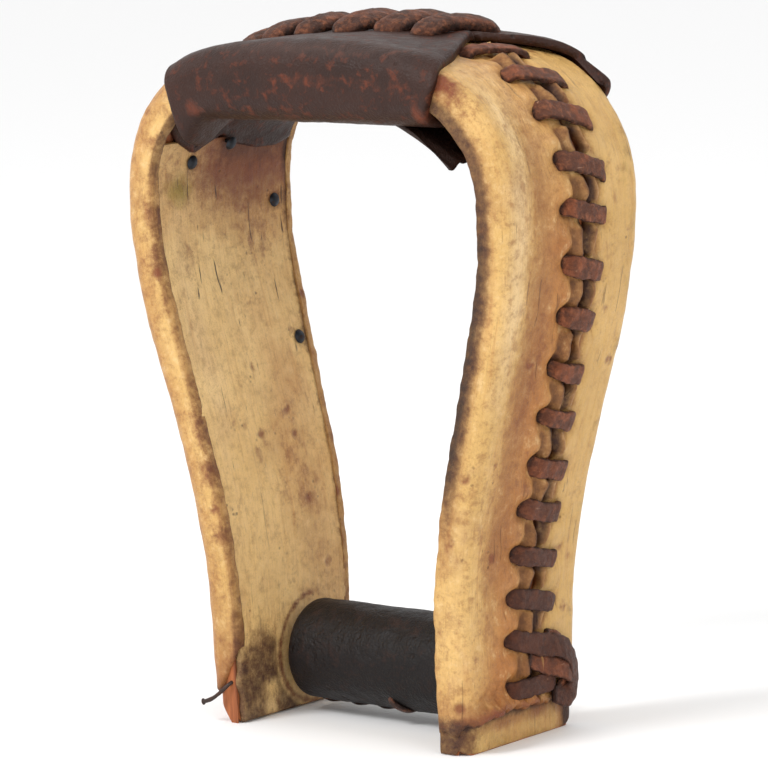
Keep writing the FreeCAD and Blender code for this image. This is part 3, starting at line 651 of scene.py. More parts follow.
def lacing_relief(y, run):
    """The hide heaves up beside the seam between the bars and is drawn in at their ends."""
    across = y - SEAM_Y
    away = np.abs(across - seam_weave(run))
    laced = between_bars(run)
    uneven = 1.0 + 0.35 * np.sin(run / 3.7 + 2.0 * np.sign(across)) + 0.25 * np.sin(run / 1.6)
    rise = laced * (1.9 * uneven * hill(away, 3.0, 1.9) - 0.9 * hill(away, 6.4, 1.5))
    rise = rise - 0.6 * (1 - laced) * fade(away, 5.0, 11.0)
    for index in range(LACE_BARS):
        here = bar_run(index)
        middle = (here + bar_run(index + 1)) / 2
        reach = bar_half(index)
        for side, heave in ((-1, 1.4), (1, 0.5)):
            hole = (side * (reach + 0.5), here - side * LACE_DROP)
            rise = rise - 1.8 * blob(across, run, hole, (2.8, 3.2))
            rise = rise + heave * blob(across, run, (side * (reach + 0.2), middle), (4.2, 3.4))
    return rise * ramp(run, 8.0, 14.0) * fade(run, 232.0, 242.0)


# heights and sizes of the reddened places on the left leg's rim
LEFT_PATCHES = ((147, 12), (162, 5), (96, 13), (80, 6), (60, 6), (20, 9))


def cover_masks(side, y, z, depth, run, front):
    """Where the hide is tan, cream, red, dark, sooty or olive, on each leg in its own way, with
    painted highlights down the right leg's front rim and painted shade in the seam, beside it and at
    the lace holes.
    """
    outer = 1 - ramp(depth, 1.0, 6.0)
    inner = ramp(depth, 5.5, 9.5)
    rim = np.clip(1 - np.abs(depth - 3.0) / 8.0, 0, 1)
    ridge = ramp(depth, 9.9, 10.9)
    right = (side > 0).astype(float)
    left = 1 - right
    wander = 3.0 * np.sin(z / 17.0) + 2.0 * np.sin(z / 6.3 + 1.0)
    bend = ramp(z, 150, 190)
    away = np.abs(y - SEAM_Y - seam_weave(run))
    laced = ramp(run, 10, 16) * fade(run, 225, 235)
    lips = hill(away, 2.2, 3.0) * laced * between_bars(run)
    # crease lies in the dip beside the seam and slit in the seam's gap: painted shade in those
    # hollows
    crease = hill(away, 5.9, 1.5) * laced * between_bars(run)
    slit = hill(away, 0.8, 1.7) * laced
    corner = blob(y, z, (-34.5, 207), (4, 5)) + 0.5 * blob(y, z, (-37, 198), (4, 8))
    corner = corner * right
    stripe = (-13 + 0.5 * wander, 118)

    tan = (outer * (0.95 * hill(y, -9.0 + 0.4 * wander, 13.0) + 0.25 * hill(y, 9, 6))
           * (1 - 0.5 * bend) + 0.5 * left * rim + 0.4 * fade(z, 8, 40)
           + 0.12 * ramp(z, 170, 200) * outer)
    # painted highlight: a broad band down the right leg's front rim, a softer band lower on the rim
    # and a patch beside the rusty corner; the last term is a paler tone near the crown
    cream_and_highlight = (0.85 * right * hill(y, -28.5 + 0.2 * wander, 5.0) * outer * ramp(z, 84, 140)
             * fade(z, 172, 188) + 0.3 * right * rim * fade(z, 75, 110)
             + 0.8 * right * outer * blob(y, z, (-25, 192), (4, 14))
             + 0.35 * outer * bend * hill(y, -15, 10))
    brown = (0.8 * lips + 0.6 * crease + 0.35 * outer * blob(y, z, stripe, (4, 40))
             + 0.35 * outer * blob(y, z, (-9, 70), (6, 20)) + 0.3 * left * rim
             + 0.5 * fade(z, 9, 22) * ramp(-y, -8, 22)
             + 0.9 * right * outer * hill(z, 10.0, 3.4) + 0.4 * corner
             + 0.55 * left * ridge + 0.6 * left * fade(z, 14, 44) * ramp(depth, 3, 8)
             + 0.75 * ramp(depth, 2.6, 8.5) * right * ramp(z, 44, 84) * (1 - 0.4 * ramp(z, 186, 200)))
    red = (0.5 * outer * blob(y, z, stripe, (3.2, 34)) + 0.22 * lips
           + 0.4 * outer * blob(y, z, (-7, 84), (5, 22))
           + 1.1 * corner * fade(depth, 6, 10)
           + 0.55 * fade(z, 8.5, 17) * ramp(-y, -4, 26))
    dark = (0.42 * lips + 0.6 * crease + 1.4 * slit + 0.9 * fade(z, 9, 15) * ramp(-y, 20, 29)
            + left * ridge * (0.3 + 0.4 * ramp(z, 168, 182) + 0.3 * fade(z, 20, 60))
            + 0.85 * ramp(depth, 4.2, 8.6) * right * ramp(z, 56, 90))
    soot_and_shade = 0.7 * ramp(depth, 7.5, 9.8) * right * ramp(z, 66, 92) * fade(z, 156, 176)
    # painted shadow round the holes at each bar's ends, where the thong goes into the hide
    for index in range(LACE_BARS):
        here = bar_run(index)
        reach = bar_half(index) + 0.8
        dark = dark + 0.8 * outer * (
            blob(y, run, (SEAM_Y - reach, here + LACE_DROP), (2.0, 2.8))
            + blob(y, run, (SEAM_Y + reach, here - LACE_DROP), (1.7, 2.6)))
    for height, size in LEFT_PATCHES:
        patch = hill(z, height, size) * (0.35 + 0.65 * inner) * left
        red = red + 0.6 * ramp(depth, 1.5, 5.0) * patch
        dark = dark + 0.2 * ramp(depth, 3.0, 7.0) * patch
    if not front:
        red = red * 0.45 + 0.4 * blob(y, z, (20, 176), (6, 8))
        tan = tan * 0.6
        dark = dark * 0.6
    return {"tan": tan * ramp(RUN_TOP - run, 12, 22), "cream_and_highlight": cream_and_highlight, "red": red, "dark": dark,
            "soot_and_shade": soot_and_shade, "brown": brown, "calm": 0.75 * outer * right * ramp(y, 9, 15),
            "olive": 0.3 * outer * ramp(y, 12, 30), "fleck": 0.55 * outer}


COVER_ROWS = 470


def lower_edge(side, y, depth, front):
    """Where a cover stops above the leg's end: a worn, slanting edge."""
    slant = np.interp(y, [-33, -26, -12.5, -2, 4, 16, 29], [9.2, 8.7, 11.4, 10.7, 10.5, 10.0, 12.0])
    worn = 0.5 * np.sin(y * 0.9 + depth) + 0.35 * np.sin(y * 2.3 + 1.0)
    strip = np.where(side < 0, 10.5 + 1.7 * np.clip(depth - 4.0, 0.0, 8.0), 6.5)
    face = ramp(depth, 1.5, 5.0) * (1.0 if front else 0.4)
    return slant * (1 - face) + strip * face + worn


def make_cover(name, front, stands_for):
    sign = -1.0 if front else 1.0
    t = np.linspace(-1, 1, COVER_ROWS)[:, None]
    s = t * RUN_TOP
    loose = 1.0 + 0.35 * np.sin(s / 3.3) + 0.25 * np.sin(s / 7.9 + 2.0)
    seam = SEAM_Y + seam_weave(RUN_TOP - np.abs(s)) + sign * SEAM_GAP / 2 * loose
    _, z, nx, nz = outline(RUN_TOP - np.abs(s))
    half = half_depth(z)

    # its section: from the seam over the rim, down the leg's front or back and in to the liner
    flat = edge_places(1.0, 42, 0.05)[:-5]
    turn = np.linspace(0, math.pi / 2, 12)
    face = np.linspace(0, 1, 7)[1:]
    small = np.linspace(0, math.pi / 2, 6)[1:]
    lip = np.array([0.35, 0.7, 1.0])
    y = np.concatenate([
        seam + (sign * (half - RIM_R) - seam) * flat,
        sign * (half - RIM_R + RIM_R * np.sin(turn)),
        sign * (half + 0 * face),
        sign * (half - RIM_IN_R + RIM_IN_R * np.cos(small)),
        sign * (half - RIM_IN_R - RIM_LIP * lip)], 1)
    face_end = LINER_IN - RIM_IN_R
    depth = np.concatenate([
        0 * flat, RIM_R * (1 - np.cos(turn)), RIM_R + (face_end - RIM_R) * face,
        face_end + RIM_IN_R * np.sin(small), LINER_IN + 0 * lip])[None, :]
    out = np.concatenate([1 + 0 * flat, np.cos(turn), 0 * face, -np.sin(small), -1 + 0 * lip])
    ahead = np.concatenate([0 * flat, np.sin(turn), 1 + 0 * face, np.cos(small), 0 * lip])

    side = np.where(s < 0, -1.0, 1.0)
    stop = lower_edge(side, y, depth, front)
    s = t * (RUN_TOP - stop)
    run = RUN_TOP - np.abs(s)
    surface = bow_point(s, y, -depth)
    outer_face = 1 - ramp(depth, 0.2, 4.0)
    hollow = 1.0 * hill(y, -17.0, 6.0) * ramp(run, 20, 70) * fade(run, 180, 220)
    hem = outer_face * (side > 0) * (0.75 + 0.35 * np.sin(y / 3.1 + 0.6))
    hem = hem * (1 - 0.8 * ramp(y, 8, 17))
    rise = (outer_face * (lacing_relief(y, run) + creases(surface) - hollow)
            + 0.45 * lumps(surface, 22.0, 3.0) + 0.14 * lumps(surface, 5.0, 9.0)
            + ramp(depth, 9.6, 11.6) * (0.3 + 0.3 * lumps(surface, 4.2, 5.0, 3))
            + hem * (HEM_RISE * hill(run - stop, 1.9, 2.3) - 0.7 * hill(run - stop, 6.2, 2.0))
            - rounded_off(np.abs(y - seam) + 0 * run, 1.1) * (depth < 0.1) * 0.9
            - rounded_off(run - stop, 1.0) * 0.9)
    step = stacked(out * np.where(side < 0, -1, 1) * nx, sign * ahead, out * nz)
    masks = cover_masks(side, y, surface[..., 2], depth, run, front)
    # painted shade in the dips of the relief, darker the deeper the dip
    masks["brown"] = masks["brown"] + np.clip(-0.5 * rise, 0, 0.8) * outer_face
    masks["red"] = masks["red"] + 0.75 * hem * hill(run - stop, 1.6, 1.5)
    # painted shadow along the hem's lower edge, and painted shade in the hollow above the hem
    masks["dark"] = masks["dark"] + hem * (
        0.95 * fade(run - stop, 0.1, 1.3) + 0.35 * hill(run - stop, 5.8, 1.2))
    around = np.hypot(np.diff(y[COVER_ROWS // 4]), np.diff(depth[0]))
    uv = stacked(np.concatenate([[0], np.cumsum(around)])[None, :], s)
    top = surface + step * rise[..., None]
    shape = slab(top, surface - step * HIDE, uv, masks, flip=front)
    new_object(name, shape, RAWHIDE, stands_for)


# ---- the pale under-layer that shows at each leg's end ----
FOOT_LAYER_DEPTH = 1.5   # below the hide's outer face
FOOT_LAYER_TOP = 15.0
LEFT_LAYER_REACH = 43.0  # the left leg has lost the front of its layer
FOOT_ROUND = 3.0         # rounding of its lower corners, at the front and at the back
FOOT_BACK_ROUND = 6.0


def make_foot_layer(name, side):
    """It wraps the front rim on the right leg; on the left the wood shows there."""
    rows = edge_places(FOOT_LAYER_TOP, 14, 1.0)[:, None] / FOOT_LAYER_TOP
    edge = FOOT_HALF_DEPTH - 0.9
    turn = np.linspace(0, math.pi / 2, 9)
    reach = 2 * edge - RIM_R if side > 0 else LEFT_LAYER_REACH
    back = edge - edge_places(reach, 56, 1.2)[:-4]
    face = np.linspace(FOOT_LAYER_DEPTH + RIM_R, LINER_IN - 0.5, 6)[1:]
    if side < 0:
        turn, face = turn[:0], face[:0]
    y = np.concatenate([back, -edge + RIM_R - RIM_R * np.sin(turn), -edge + 0 * face])[None, :]
    depth = np.concatenate([FOOT_LAYER_DEPTH + 0 * back,
                            FOOT_LAYER_DEPTH + RIM_R * (1 - np.cos(turn)), face])[None, :]
    depth = depth + rounded_off(edge - y, 3.5) * (y > 0)
    radius = np.where(y > 0, FOOT_BACK_ROUND, FOOT_ROUND)
    corner = rounded_off(edge - np.abs(y), radius) * (depth < RIM_R)
    if side < 0:
        corner = corner + ramp(-y, 4.0, 15.0) * 12.0
    run = 0.25 + corner + rows * (FOOT_LAYER_TOP - corner)
    out = np.concatenate([1 + 0 * back, np.cos(turn), 0 * face])[None, :]
    ahead = -np.concatenate([0 * back, np.sin(turn), 1 + 0 * face])[None, :]
    surface = leg_point(side, run, y, -depth)
    lump = 0.2 * lumps(surface, 6.0, 11.0) - rounded_off(run - corner, 1.5) * 0.5
    step = stacked(side * out, ahead, 0 * out)
    masks = {
        "tan": 0.45 * ramp(y, -28, -8),
        "cream_and_highlight": 0.3 * hill(run, 4.0, 3.0),
        "red": 0.8 * fade(y, -28, -14),
        # the last term here and the band on the next line are painted shadow from the cover's hem
        "dark": 0.9 * fade(y, -29, -18) + 1.25 * ramp(y, 19, 24) + 1.1 * hill(run, 10.6, 2.2),
        "soot_and_shade": 0.7 * hill(run, 11.5, 2.6),
        "brown": 0.5 * ramp(run, 4.0, 9.0) + 0.9 * ramp(y, 17, 22)
        + 0.75 * blob(y, run, (9.0, 8.5), (5.0, 3.0)) + 0.6 * blob(y, run, (-9.0, 7.0), (7.0, 1.8)),
        "calm": 0.5, "olive": 0.42, "fleck": 0.3}
    top = surface + step * lump[..., None]
    bottom = surface - step * (HIDE - FOOT_LAYER_DEPTH - 0.02)
    shape = slab(top, bottom, stacked(y + depth, run), masks, flip=side < 0)
    new_object(name, shape, RAWHIDE)


# ---- the liners inside the legs ----
LINER_LOW = 0.4         # gap between the liner and the floor
LINER_TOP = 188.5
# y and z of the tacks
TACK_SPOTS = ((-15.5, 176.5), (25.5, 160.6), (26.0, 116.4))


def tack_shade(y, z, width):
    """1 at each tack, fading within a width of it."""
    return sum(hill(np.hypot(y - spot[0], z - spot[1]), 0.0, width) for spot in TACK_SPOTS)


def liner_masks(side, y, z):
    wander = 4.0 * np.sin(z / 13.0 + (0.0 if side < 0 else 6.0)) + 2.5 * np.sin(z / 5.1)
    under_flap = ramp(z, 150, 176) * (0.35 + 0.65 * ramp(y, -22, -4))
    back = ramp(y, half_depth(z) - 7, half_depth(z) - 2.5)
    # a ring that the roller has rubbed, and the dirt below it
    ring = np.hypot(y - 10.0, z - 18.8)
    around = fade(np.abs(ring - 17.6), 0.2, 1.8) * fade(y, 8, 16)
    low = fade(z, 20 + 3 * np.sin(y / 3), 34 + 5 * np.sin(y / 4)) * ramp(ring, 17.5, 20.5)
    low = low * fade(y, 0, 8) * (1 - 0.75 * hill(y, -12, 3.5) * fade(z, 8, 14))
    return {
        "red": 0.85 * under_flap + 0.4 * blob(y, z, (16, 150), (12, 14))
        + 0.35 * blob(y, z, (10 + wander, 74), (9, 26))
        + 0.5 * blob(y, z, (-18 + wander / 2, 146), (6, 9)) + 0.8 * around + 0.4 * low,
        "dark": 0.95 * back * ramp(z, 30, 60) + 0.75 * ramp(z, 166, 182) * ramp(y, -14, 2)
        + 0.85 * low + 0.35 * around + 0.7 * tack_shade(y, z, 4.2),
        "soot_and_shade": 0.45 * back * ramp(z, 90, 150) + 0.4 * low * (z < 14),
        "cream_and_highlight": 0.55 * blob(y, z, (-22 + wander / 3, 120), (7, 60)) + 0.5 * hill(z, 3.0, 3.5),
        "olive": 0.85 * blob(y, z, (-21, 169), (8, 7)) + 0.5 * blob(y, z, (-4, 12), (4, 8)),
        "tan": 0.4 * ramp(y, -8, 22) * (1 - 0.5 * ramp(z, 30, 120)) + 0.35 * ramp(z, 140, 160)
        + 0.35 * blob(y, z, (8 + wander, 96), (10, 34)),
        "fleck": 0.9 * ramp(z, 60, 80) * fade(z, 168, 178) + 0.35,
        "brown": 0.75 * under_flap + 0.3 * blob(y, z, (14, 60), (10, 30)) + 0.5 * around
        + 0.5 * low + 0.5 * ramp(z, 128, 176) * hill(y, 12, 16) + 0.35 * back,
        "calm": 0.35}


def make_liner(name, side, stands_for):
    rows = edge_places(run_at_height(LINER_TOP) - LINER_LOW, 190, 1.4)[:, None] + LINER_LOW
    _, z, nx, nz = outline(rows)
    half = half_depth(z) - 2.6
    share = edge_places(2.0, 56, 0.05)[None, :] - 1.0
    ragged = 0.5 * np.sin(rows / 3.1) + 0.35 * np.sin(rows / 1.3 + 1.0)
    y = half * share + ragged * np.abs(share) ** 6
    surface = leg_point(side, rows, y, -LINER_IN)
    height = (0.3 * lumps(surface, 16.0, 2.0 + side) + 0.1 * lumps(surface, 4.0, 7.0)
              + 0.7 * blob(y, z, (-22, 168), (7, 8)) * lumps(surface, 3.4, 13.0, 3)
              - rounded_off((1 - np.abs(share)) * half, 1.3) - rounded_off(rows - LINER_LOW, 1.2)
              - 0.5 * tack_shade(y, surface[..., 2], 3.2))
    top = surface + stacked(-side * nx, 0 * y, -nz) * height[..., None]
    bottom = leg_point(side, rows, y, -LINER_IN + HIDE - 0.05)
    masks = liner_masks(side, y, surface[..., 2])
    shape = slab(top, bottom, stacked(y, rows), masks, flip=side < 0)
    new_object(name, shape, LINER_HIDE, stands_for)


# ---- the side lacing ----
def bar_part(index, shift):
    """One bar of thong over the seam, diving into the hide at both ends."""
    here = bar_run(index) + shift
    slope = 0.0 if index == 0 else LACE_DROP * (1.0 + 0.35 * ramp(index, 9, 13))
    lean = 0.6 * math.sin(index * 2.1)
    half = bar_half(index)
    share = np.array([-0.77, -0.38, 0.0, 0.38, 0.77])
    across = np.concatenate([[-half - 0.7, -half + 0.1], share * half, [half - 0.1, half + 0.7]])
    high = np.array([-2.0, -0.2, 1.35, 1.75, 1.9, 1.75, 1.3, -0.1, -2.0])
    along = here - slope * across / LACE_HALF + lean * (across / LACE_HALF) ** 2
    path = smooth_path(leg_point(1.0, along, SEAM_Y + across, high), 40)
    t = np.linspace(-1, 1, 40)
    wide = LACE_W * (0.96 + 0.07 * math.sin(index * 1.7)) * (1 - 0.28 * np.abs(t) ** 5)
    wide = wide * (1 + 0.06 * np.sin(3.1 * t + index))
    normal = outline(here)[2:]
    up = stacked(normal[0], 0.30 * ramp(index, 9.5, 11) * t * ramp(t, -0.2, 1.0), normal[1])
    part = strap_mesh(path, up, wide, LACE_THICK, 4.2, 30, 0.5, index + 0.5)
    return painted(part, "grimy", 0.75 * fade(index, 1.5, 7.0))


def make_side_lace(name, side, stands_for):
    phase = 0.0 if side > 0 else 1.4
    bars = [bar_part(index, 0.5 * math.sin(index * 3.3 + phase)) for index in range(LACE_BARS)]
    new_object(name, merged([on_side(part, side) for part in bars]), SIDE_THONG, stands_for)


# the tucked thong: its route as (y, distance up the leg, height above the hide), then its
# width, its thickness and how dirty it is
KNOT_ROUTES = (
    (((4.0, 28.4, 1.6), (11.0, 28.6, 2.7), (17.5, 26.4, 3.1), (22.6, 21.4, 2.3),
      (23.4, 14.4, 2.0), (19.8, 10.9, 2.2), (13.0, 12.6, 2.0)), 7.4, 1.7, 0.75),
    (((10.5, 31.6, 1.0), (15.8, 28.8, 2.0), (20.4, 22.8, 1.5), (20.8, 16.0, 1.2),
      (17.0, 13.0, 1.0)), 5.8, 1.7, 0.1),
    (((1.5, 25.6, 0.6), (6.0, 23.4, 1.6), (11.0, 22.0, 2.6), (17.0, 19.6, 3.5),
      (21.5, 17.0, 3.0)), 6.0, 1.6, 0.3),
)


def make_knot(name, side, stands_for):
    parts = []
    t = np.linspace(-1, 1, 46)
    for index, (route, width, thick, dirt) in enumerate(KNOT_ROUTES):
        y, run, height = np.array(route).T
        path = smooth_path(leg_point(1.0, run, y, height), 46)
        wide = width * (1 - 0.35 * np.abs(t) ** 6)
        part = strap_mesh(path, (1.0, 0.35, 0.1), wide, thick, 4.0, 26, 0.6, index + 20.5)
        parts.append(on_side(painted(part, "grimy", dirt), side))
    new_object(name, merged(parts), SIDE_THONG, stands_for)


# ---- the tread's leather ----
SLEEVE_R = 9.0
SLEEVE_REACH = 52.0     # about where the leather ends, from the middle
SLEEVE_SEAM_GAP = 0.9
# the right end's cut over the top: X at each Y, with the notch at the seam
CUT_Y = (-38.0, -33.0, -16.0, -7.0, 4.0, 10.0, 15.0, 21.0, 29.0, 35.0, 38.0)
CUT_X = (51.5, 50.0, 43.0, 39.0, 32.0, 29.0, 33.0, 42.0, 49.0, 56.0, 60.0)


def sleeve_end(side, y, z):
    """Where the leather is cut off, from the middle outwards: slanting up the front, then
    dipping in to a notch at the seam on top; the left end is plainer."""
    low = np.interp(y, (-38.0, 38.0), (45.0, 60.0)) + 0.34 * (z - TREAD_Z)
    over = np.interp(y, CUT_Y, CUT_X)
    share = ramp(z, 202.0, 208.0)
    right = low * (1 - share) + over * share
    left = 50.0 + 0.42 * (z - TREAD_Z) + 0.12 * (y + HALF_DEPTH)
    return np.where(side < 0, left, right)


def crown_height(x, depth):
    """Height of the outline over a place x, at a depth below the hide."""
    px, pz, nx, nz = outline(DENSE_RUN)
    over_x = px - depth * nx
    over_z = pz - depth * nz
    keep = DENSE_RUN > CORNER_RUN
    return np.interp(-np.abs(x), -over_x[keep], over_z[keep])


def sleeve_section(x, q, inset):
    """The leather's section at a place x: y and z at shares q round it from the seam on top,
    forwards, under the tread and back up."""
    half = HALF_DEPTH + LEATHER - inset
    high = crown_height(x, inset - LEATHER)
    low = TREAD_Z + inset
    radius = np.minimum(SLEEVE_R - inset, (high - low) / 2 - 0.1)
    start, upright = TREAD_SEAM_Y - SLEEVE_SEAM_GAP, high - low - 2 * radius
    flats = (half - radius + start, upright, 2 * (half - radius), upright,
             half - radius - TREAD_SEAM_Y - SLEEVE_SEAM_GAP)
    ways = ((-1, 0), (0, -1), (1, 0), (0, 1), (-1, 0))
    left = q * (sum(flats) + 2 * math.pi * radius)
    y, z = start, high
    for k, (flat, way) in enumerate(zip(flats, ways)):
        along = np.clip(left, 0, flat)
        left = left - flat
        y, z = y + way[0] * along, z + way[1] * along
        if k < 4:
            turn = np.clip(left / radius, 0, math.pi / 2)
            left = left - radius * math.pi / 2
            ahead, aside = radius * np.sin(turn), radius * (1 - np.cos(turn))
            y = y + way[0] * ahead + ways[k + 1][0] * aside
            z = z + way[1] * ahead + ways[k + 1][1] * aside
    return y, z


def sleeve_grid(t, q, inset):
    x = t * SLEEVE_REACH
    for _ in range(8):      # the cut depends on the section, and the section on the cut
        y, z = sleeve_section(x, q, inset)
        end = sleeve_end(t, y, z) + 0.35 * np.sin(y / 4.0) + 0.25 * np.sin(z / 2.1)
        x = t * end
    y, z = sleeve_section(x, q, inset)
    # the left end's front corner droops
    lowness = ramp(TREAD_Z + 9.0 - z, 0.0, 9.0)
    z = z - 10.5 * ramp(-x, 40.0, 53.0) * fade(y, -24.0, -8.0) * lowness
    return stacked(x, y, z)


def leather_masks(points):
    x, y, z = points[..., 0], points[..., 1], points[..., 2]
    front = ramp(-y, 20, 34)
    return {
        "worn": front * (0.42 * blob(x, z, (4, 206), (30, 4.5)) + 0.3 * blob(x, z, (38, 204), (12, 7))
                         + 0.8 * blob(np.abs(x), z, (44, 196), (3.0, 4.0))),
        # painted highlight: a grey sheen along the front of the top, and at the left end's front
        # corner
        "painted_sheen": 0.5 * ramp(-y, 18, 30) * hill(z, 216, 3.5)
        + 0.35 * blob(x, z, (-42, 197), (9, 7)) * front,
        # painted shade along the tread's underside and in the seam on top
        "soot_and_shade": 0.5 * fade(z, 193, 197) + 0.5 * hill(y, TREAD_SEAM_Y, 3.0) * (z > 205)}


def sleeve_part(t, q):
    outer = sleeve_grid(t, q, 0.0)
    inner = sleeve_grid(t, q, LEATHER - 0.05)
    normal = unit(outer - inner)
    x, y, z = outer[..., 0], outer[..., 1], outer[..., 2]
    on_top = ramp(z, 205.0, 210.0)
    puffed = 0.5 * np.sin(x / 3.2) * hill(y, TREAD_SEAM_Y, 9.0) * on_top * (np.abs(x) < 42)
    curl = 1.5 * hill((1 - t) * 46.0, 0.0, 7.0) * on_top * ramp(y, -30.0, -10.0)
    push = (0.38 * lumps(outer, 20.0, 1.0) + 0.16 * lumps(outer, 5.0, 4.0, 3) + puffed + curl
            - rounded_off((1 - np.abs(t)) * SLEEVE_REACH, 1.1)
            - rounded_off(np.minimum(q, 1 - q) * 200.0, 1.2))
    return outer + normal * push[..., None], inner + normal * curl[..., None]


# the left tongue's ragged lower edge: its height at each Y
TONGUE_EDGE_Y = (-31.0, -25.0, -17.0, -9.0, -4.0, 3.0, 14.0, 24.0, 30.0)
TONGUE_EDGE_Z = (190.5, 183.5, 179.6, 182.6, 184.5, 181.2, 178.8, 178.6, 180.5)


def tongue_grid(side, across, down, inset):
    """The flap down the inner corner: from the tread's underside to the leg's inner face on the
    left, and hanging free on the right."""
    y = np.interp(across, np.linspace(0, 1, len(TONGUE_EDGE_Y)), TONGUE_EDGE_Y)
    if side < 0:
        tip_z = np.interp(y, TONGUE_EDGE_Y, TONGUE_EDGE_Z)
        px, _, nx, _ = outline(run_at_height(tip_z))
        tip_x = px - (LINER_IN + 2.6 - inset) * nx
        start = (40.0, TREAD_Z + 0.4 + inset)
        bend = (tip_x - 1.5, TREAD_Z - 2.0 + inset)
    else:
        tip_z = 181.0 + 0.8 * np.sin(y / 2.2) + 0.5 * np.sin(y / 0.9)
        tip_x = 52.5 + 1.5 * ramp(y, -20, 10) - 0.7 * inset
        start = (30.0, TREAD_Z + 0.4 + inset)
        bend = (40.0 - 0.4 * inset, TREAD_Z - 3.4 + inset)
    a, b, c = (1 - down) ** 2, 2 * down * (1 - down), down ** 2
    x = a * start[0] + b * bend[0] + c * tip_x
    z = a * start[1] + b * bend[1] + c * tip_z
    return stacked(side * x, y, z)


def tongue_part(side):
    across = edge_places(1.0, 46, 0.03)[None, :]
    down = edge_places(1.0, 22, 0.06)[:, None]
    top = tongue_grid(side, across, down, 0.0)
    bottom = tongue_grid(side, across, down, 2.3)
    soft = rounded_off((1 - down) * 16 + 0 * across, 1.0) + rounded_off(across * 60, 1.0)
    lump = 0.35 * lumps(top, 9.0, 6.0 + side) - soft
    return top + unit(top - bottom) * lump[..., None], bottom


def make_tread_cover(name, stands_for):
    t = (edge_places(2.0, 120, 0.03) - 1.0)[:, None]
    q = edge_places(1.0, 200, 0.008)[None, :]
    top, bottom = sleeve_part(t, q)
    parts = [slab(top, bottom, top[..., :2], leather_masks(top))]
    # each tongue is darkened all over with painted shade: the left one lies in shadow at the back,
    # the right one hangs in shadow in the inner corner
    for side, soot_and_shade in ((-1.0, 0.25), (1.0, 0.7)):
        top, bottom = tongue_part(side)
        masks = {**leather_masks(top), "soot_and_shade": soot_and_shade}
        parts.append(slab(top, bottom, top[..., :2], masks, flip=side < 0))
    new_object(name, merged(parts), TREAD_LEATHER, stands_for)


STRAND_HALF = 13.6      # how far a strand reaches before and behind the seam
# each strand's X at its front end, and how much more it is at its back end
STRANDS = ((-49.0, 0.0), (-39.5, 0.0), (-27.0, 2.0), (-12.0, 6.0), (3.5, 9.0), (18.0, 8.0))


def make_tread_lace(name, stands_for):
    """Thick slanting strands over the seam on top, each crowding against the next."""
    parts = []
    places = np.array([-STRAND_HALF, -12.4, -8.0, -2.5, 3.5, 8.5, 12.4, STRAND_HALF])
    high = np.array([-1.8, 0.6, 2.4, 3.1, 3.1, 2.4, 0.6, -1.8])
    t = np.linspace(-1, 1, 44)
    for index, (front_x, slant) in enumerate(STRANDS):
        over_x = front_x + slant * (places + STRAND_HALF) / (2 * STRAND_HALF)
        over_x = over_x + 0.8 * np.sin(places / 5.0 + index)
        top = crown_height(over_x, -LEATHER) + high
        path = smooth_path(stacked(over_x, TREAD_SEAM_Y + 0.6 + places, top), 44)
        wide = (9.2 + 0.8 * math.sin(index * 2.3)) * (1 - 0.35 * np.abs(t) ** 4)
        up = (0.3 - 0.5 * ramp(-front_x, 20, 50), 0, 1)
        parts.append(strap_mesh(path, up, wide, 4.6, 2.6, 26, 0.35, index + 40.5))
    new_object(name, merged(parts), TREAD_THONG, stands_for)


# ---- the roller ----
ROLLER_TURNS = 150      # faces round the sleeve
# X and angle in degrees where a stitch starts and where it ends; the last is the tucked end
ROLLER_STITCHES = [(x, -96.0, x + 7.0, -66.0) for x in (-32.0, -21.0, -10.0, 14.0, 25.0)]
ROLLER_STITCHES.append((2.9, -140.0, 8.5, -108.0))


